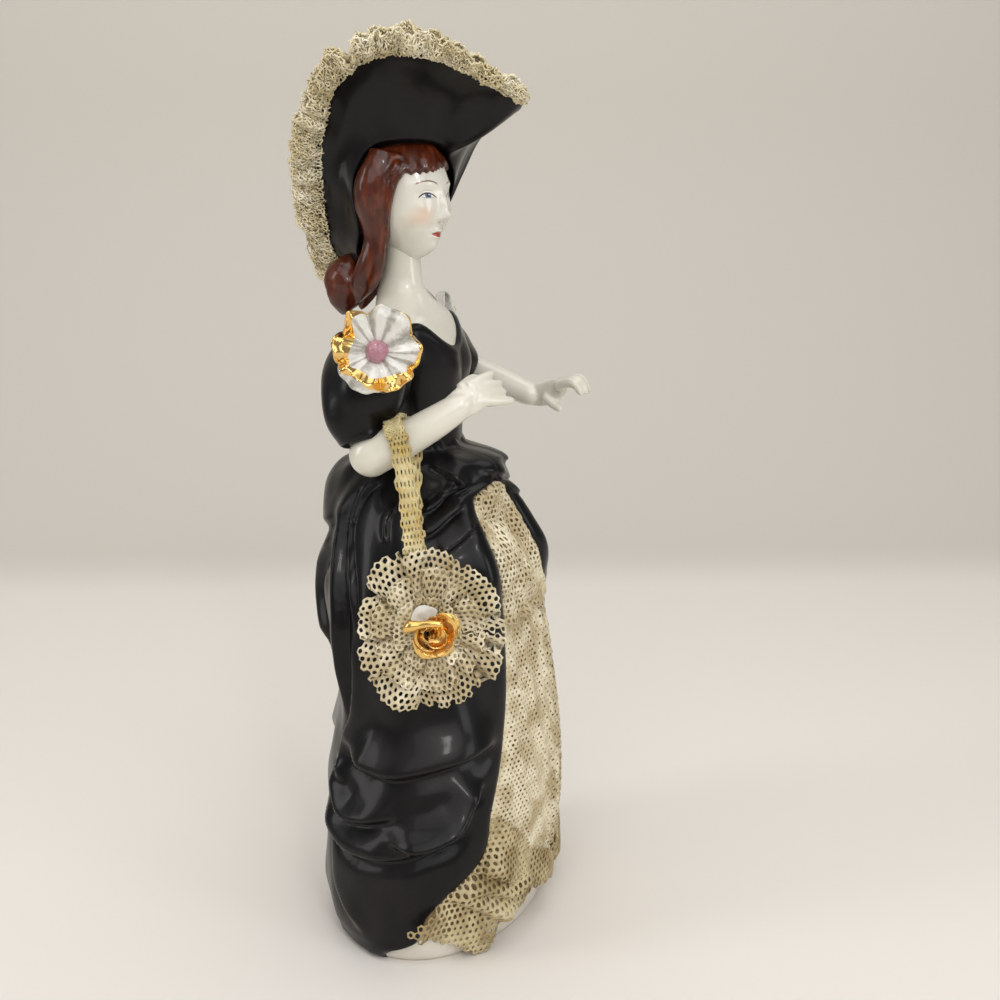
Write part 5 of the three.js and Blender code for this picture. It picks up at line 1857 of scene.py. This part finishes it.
CAMERA_AZIMUTH = np.radians(-70)
CAMERA_DISTANCE, CAMERA_HEIGHT = 380, 200
CAMERA_PITCH = np.radians(12.4)
FOCAL_PIXELS, FRAME_PIXELS, AXIS_PIXEL = 1410, 1000, 440
SENSOR = 36.0
SWEEP_BACK, SWEEP_RADIUS = 320, 260
PAPER_SHADE_SPAN = (0.31, 0.38)  # how far behind her the painted shade on the paper begins and is full, in metres


def paper_finish():
    """Matt paper, pale in front of her and a little darker behind, where painted shade lies on it."""
    made = Finish("paper", Roughness=0.85)
    x, y, _ = made.parts(made.place)
    run = x * -np.sin(CAMERA_AZIMUTH) + y * np.cos(CAMERA_AZIMUTH)
    # painted shade: the paper darkens behind her
    behind = run.over(*PAPER_SHADE_SPAN)
    made.set("Base Color", made.mix(behind, "eee9e2", "d7d2c9"))
    return made.material


def sweep():
    """The studio's paper: a flat floor that turns up behind her on a quarter circle."""
    away = np.array([-np.sin(CAMERA_AZIMUTH), np.cos(CAMERA_AZIMUTH)])
    side = np.array([away[1], -away[0]])
    bend = np.linspace(0, np.pi / 2, 24)
    curved = SWEEP_BACK + SWEEP_RADIUS * np.sin(bend)
    run = np.concatenate([[-1500, SWEEP_BACK - 1], curved, [SWEEP_BACK + SWEEP_RADIUS]])
    rise = np.concatenate([[0, 0], SWEEP_RADIUS * (1 - np.cos(bend)), [1900]])
    wide = np.array([-1800, 1800.0])
    xy = run[:, None, None] * away + wide[None, :, None] * side
    grid = np.concatenate([xy, (rise[:, None] + 0 * wide)[..., None]], -1)
    quads = [grid_quads(len(run), 2, closed=False)]
    paper = bpy.data.objects.new("paper", mesh_of("paper", (grid.reshape(-1, 3), quads)))
    paper.data.materials.append(paper_finish())
    bpy.context.scene.collection.objects.link(paper)


SOFT_BOXES = {  # place, width and height, power and colour
    "key": ((-620, -260, 620), (760, 760), 2.6, (1.0, 0.98, 0.95)),
    "window": ((-260, -720, 300), (260, 420), 1.0, (0.95, 0.97, 1.0)),
    "back": ((-420, 560, 420), (220, 520), 1.2, (1.0, 0.98, 0.96)),
    "spark": ((-520, -330, 560), (60, 90), 0.5, (1.0, 0.99, 0.97)),
    "ceiling": ((0, 0, 900), (900, 900), 3.4, (1.0, 0.99, 0.97)),
}
LIT_PLACE = Vector((0, 0, 120))
ROOM_COLOUR, ROOM_LIGHT = (0.93, 0.93, 0.95, 1), 0.3


def soft_box(name, place, size, power, colour):
    """A rectangular light at a place, turned to the middle of the figure."""
    lamp = bpy.data.lights.new(name, "AREA")
    lamp.shape = "RECTANGLE"
    lamp.size, lamp.size_y = size[0] * MM, size[1] * MM
    lamp.energy = power
    lamp.color = colour
    made = bpy.data.objects.new(name, lamp)
    made.location = Vector(place) * MM
    made.rotation_euler = (LIT_PLACE - Vector(place)).to_track_quat("-Z", "Y").to_euler()
    bpy.context.scene.collection.objects.link(made)


def studio():
    """A dim grey room with five soft boxes round her."""
    world = bpy.data.worlds.new("studio")
    world.use_nodes = True
    room = world.node_tree.nodes["Background"].inputs
    room["Color"].default_value = ROOM_COLOUR
    room["Strength"].default_value = ROOM_LIGHT
    bpy.context.scene.world = world
    for name, box in SOFT_BOXES.items():
        soft_box(name, *box)


def camera():
    """The photograph's viewpoint, turned aside so that the figure's middle stands at column AXIS_PIXEL."""
    a, p = CAMERA_AZIMUTH, CAMERA_PITCH
    eye = np.array([CAMERA_DISTANCE * np.sin(a), -CAMERA_DISTANCE * np.cos(a), CAMERA_HEIGHT])
    level = np.array([-np.sin(a), np.cos(a), 0.0])
    sideways = np.cross(level, UP)
    yaw = np.arctan((FRAME_PIXELS / 2 - AXIS_PIXEL) / FOCAL_PIXELS * np.cos(p))
    level = np.cos(yaw) * level + np.sin(yaw) * sideways
    right = np.cross(level, UP)
    ahead = np.cos(p) * level - np.sin(p) * UP
    up = np.cross(right, ahead)
    lens = bpy.data.cameras.new("view")
    lens.sensor_width = SENSOR
    lens.lens = SENSOR * FOCAL_PIXELS / FRAME_PIXELS
    lens.clip_start, lens.clip_end = 0.01, 20
    made = bpy.data.objects.new("view", lens)
    made.matrix_world = Matrix.Translation(Vector(eye * MM)) @ Matrix(
        [[*row] for row in np.stack([right, up, -ahead], -1)]
    ).to_4x4()
    bpy.context.scene.collection.objects.link(made)
    bpy.context.scene.camera = made


sweep()
studio()
camera()
bpy.context.scene.view_settings.view_transform = "Standard"
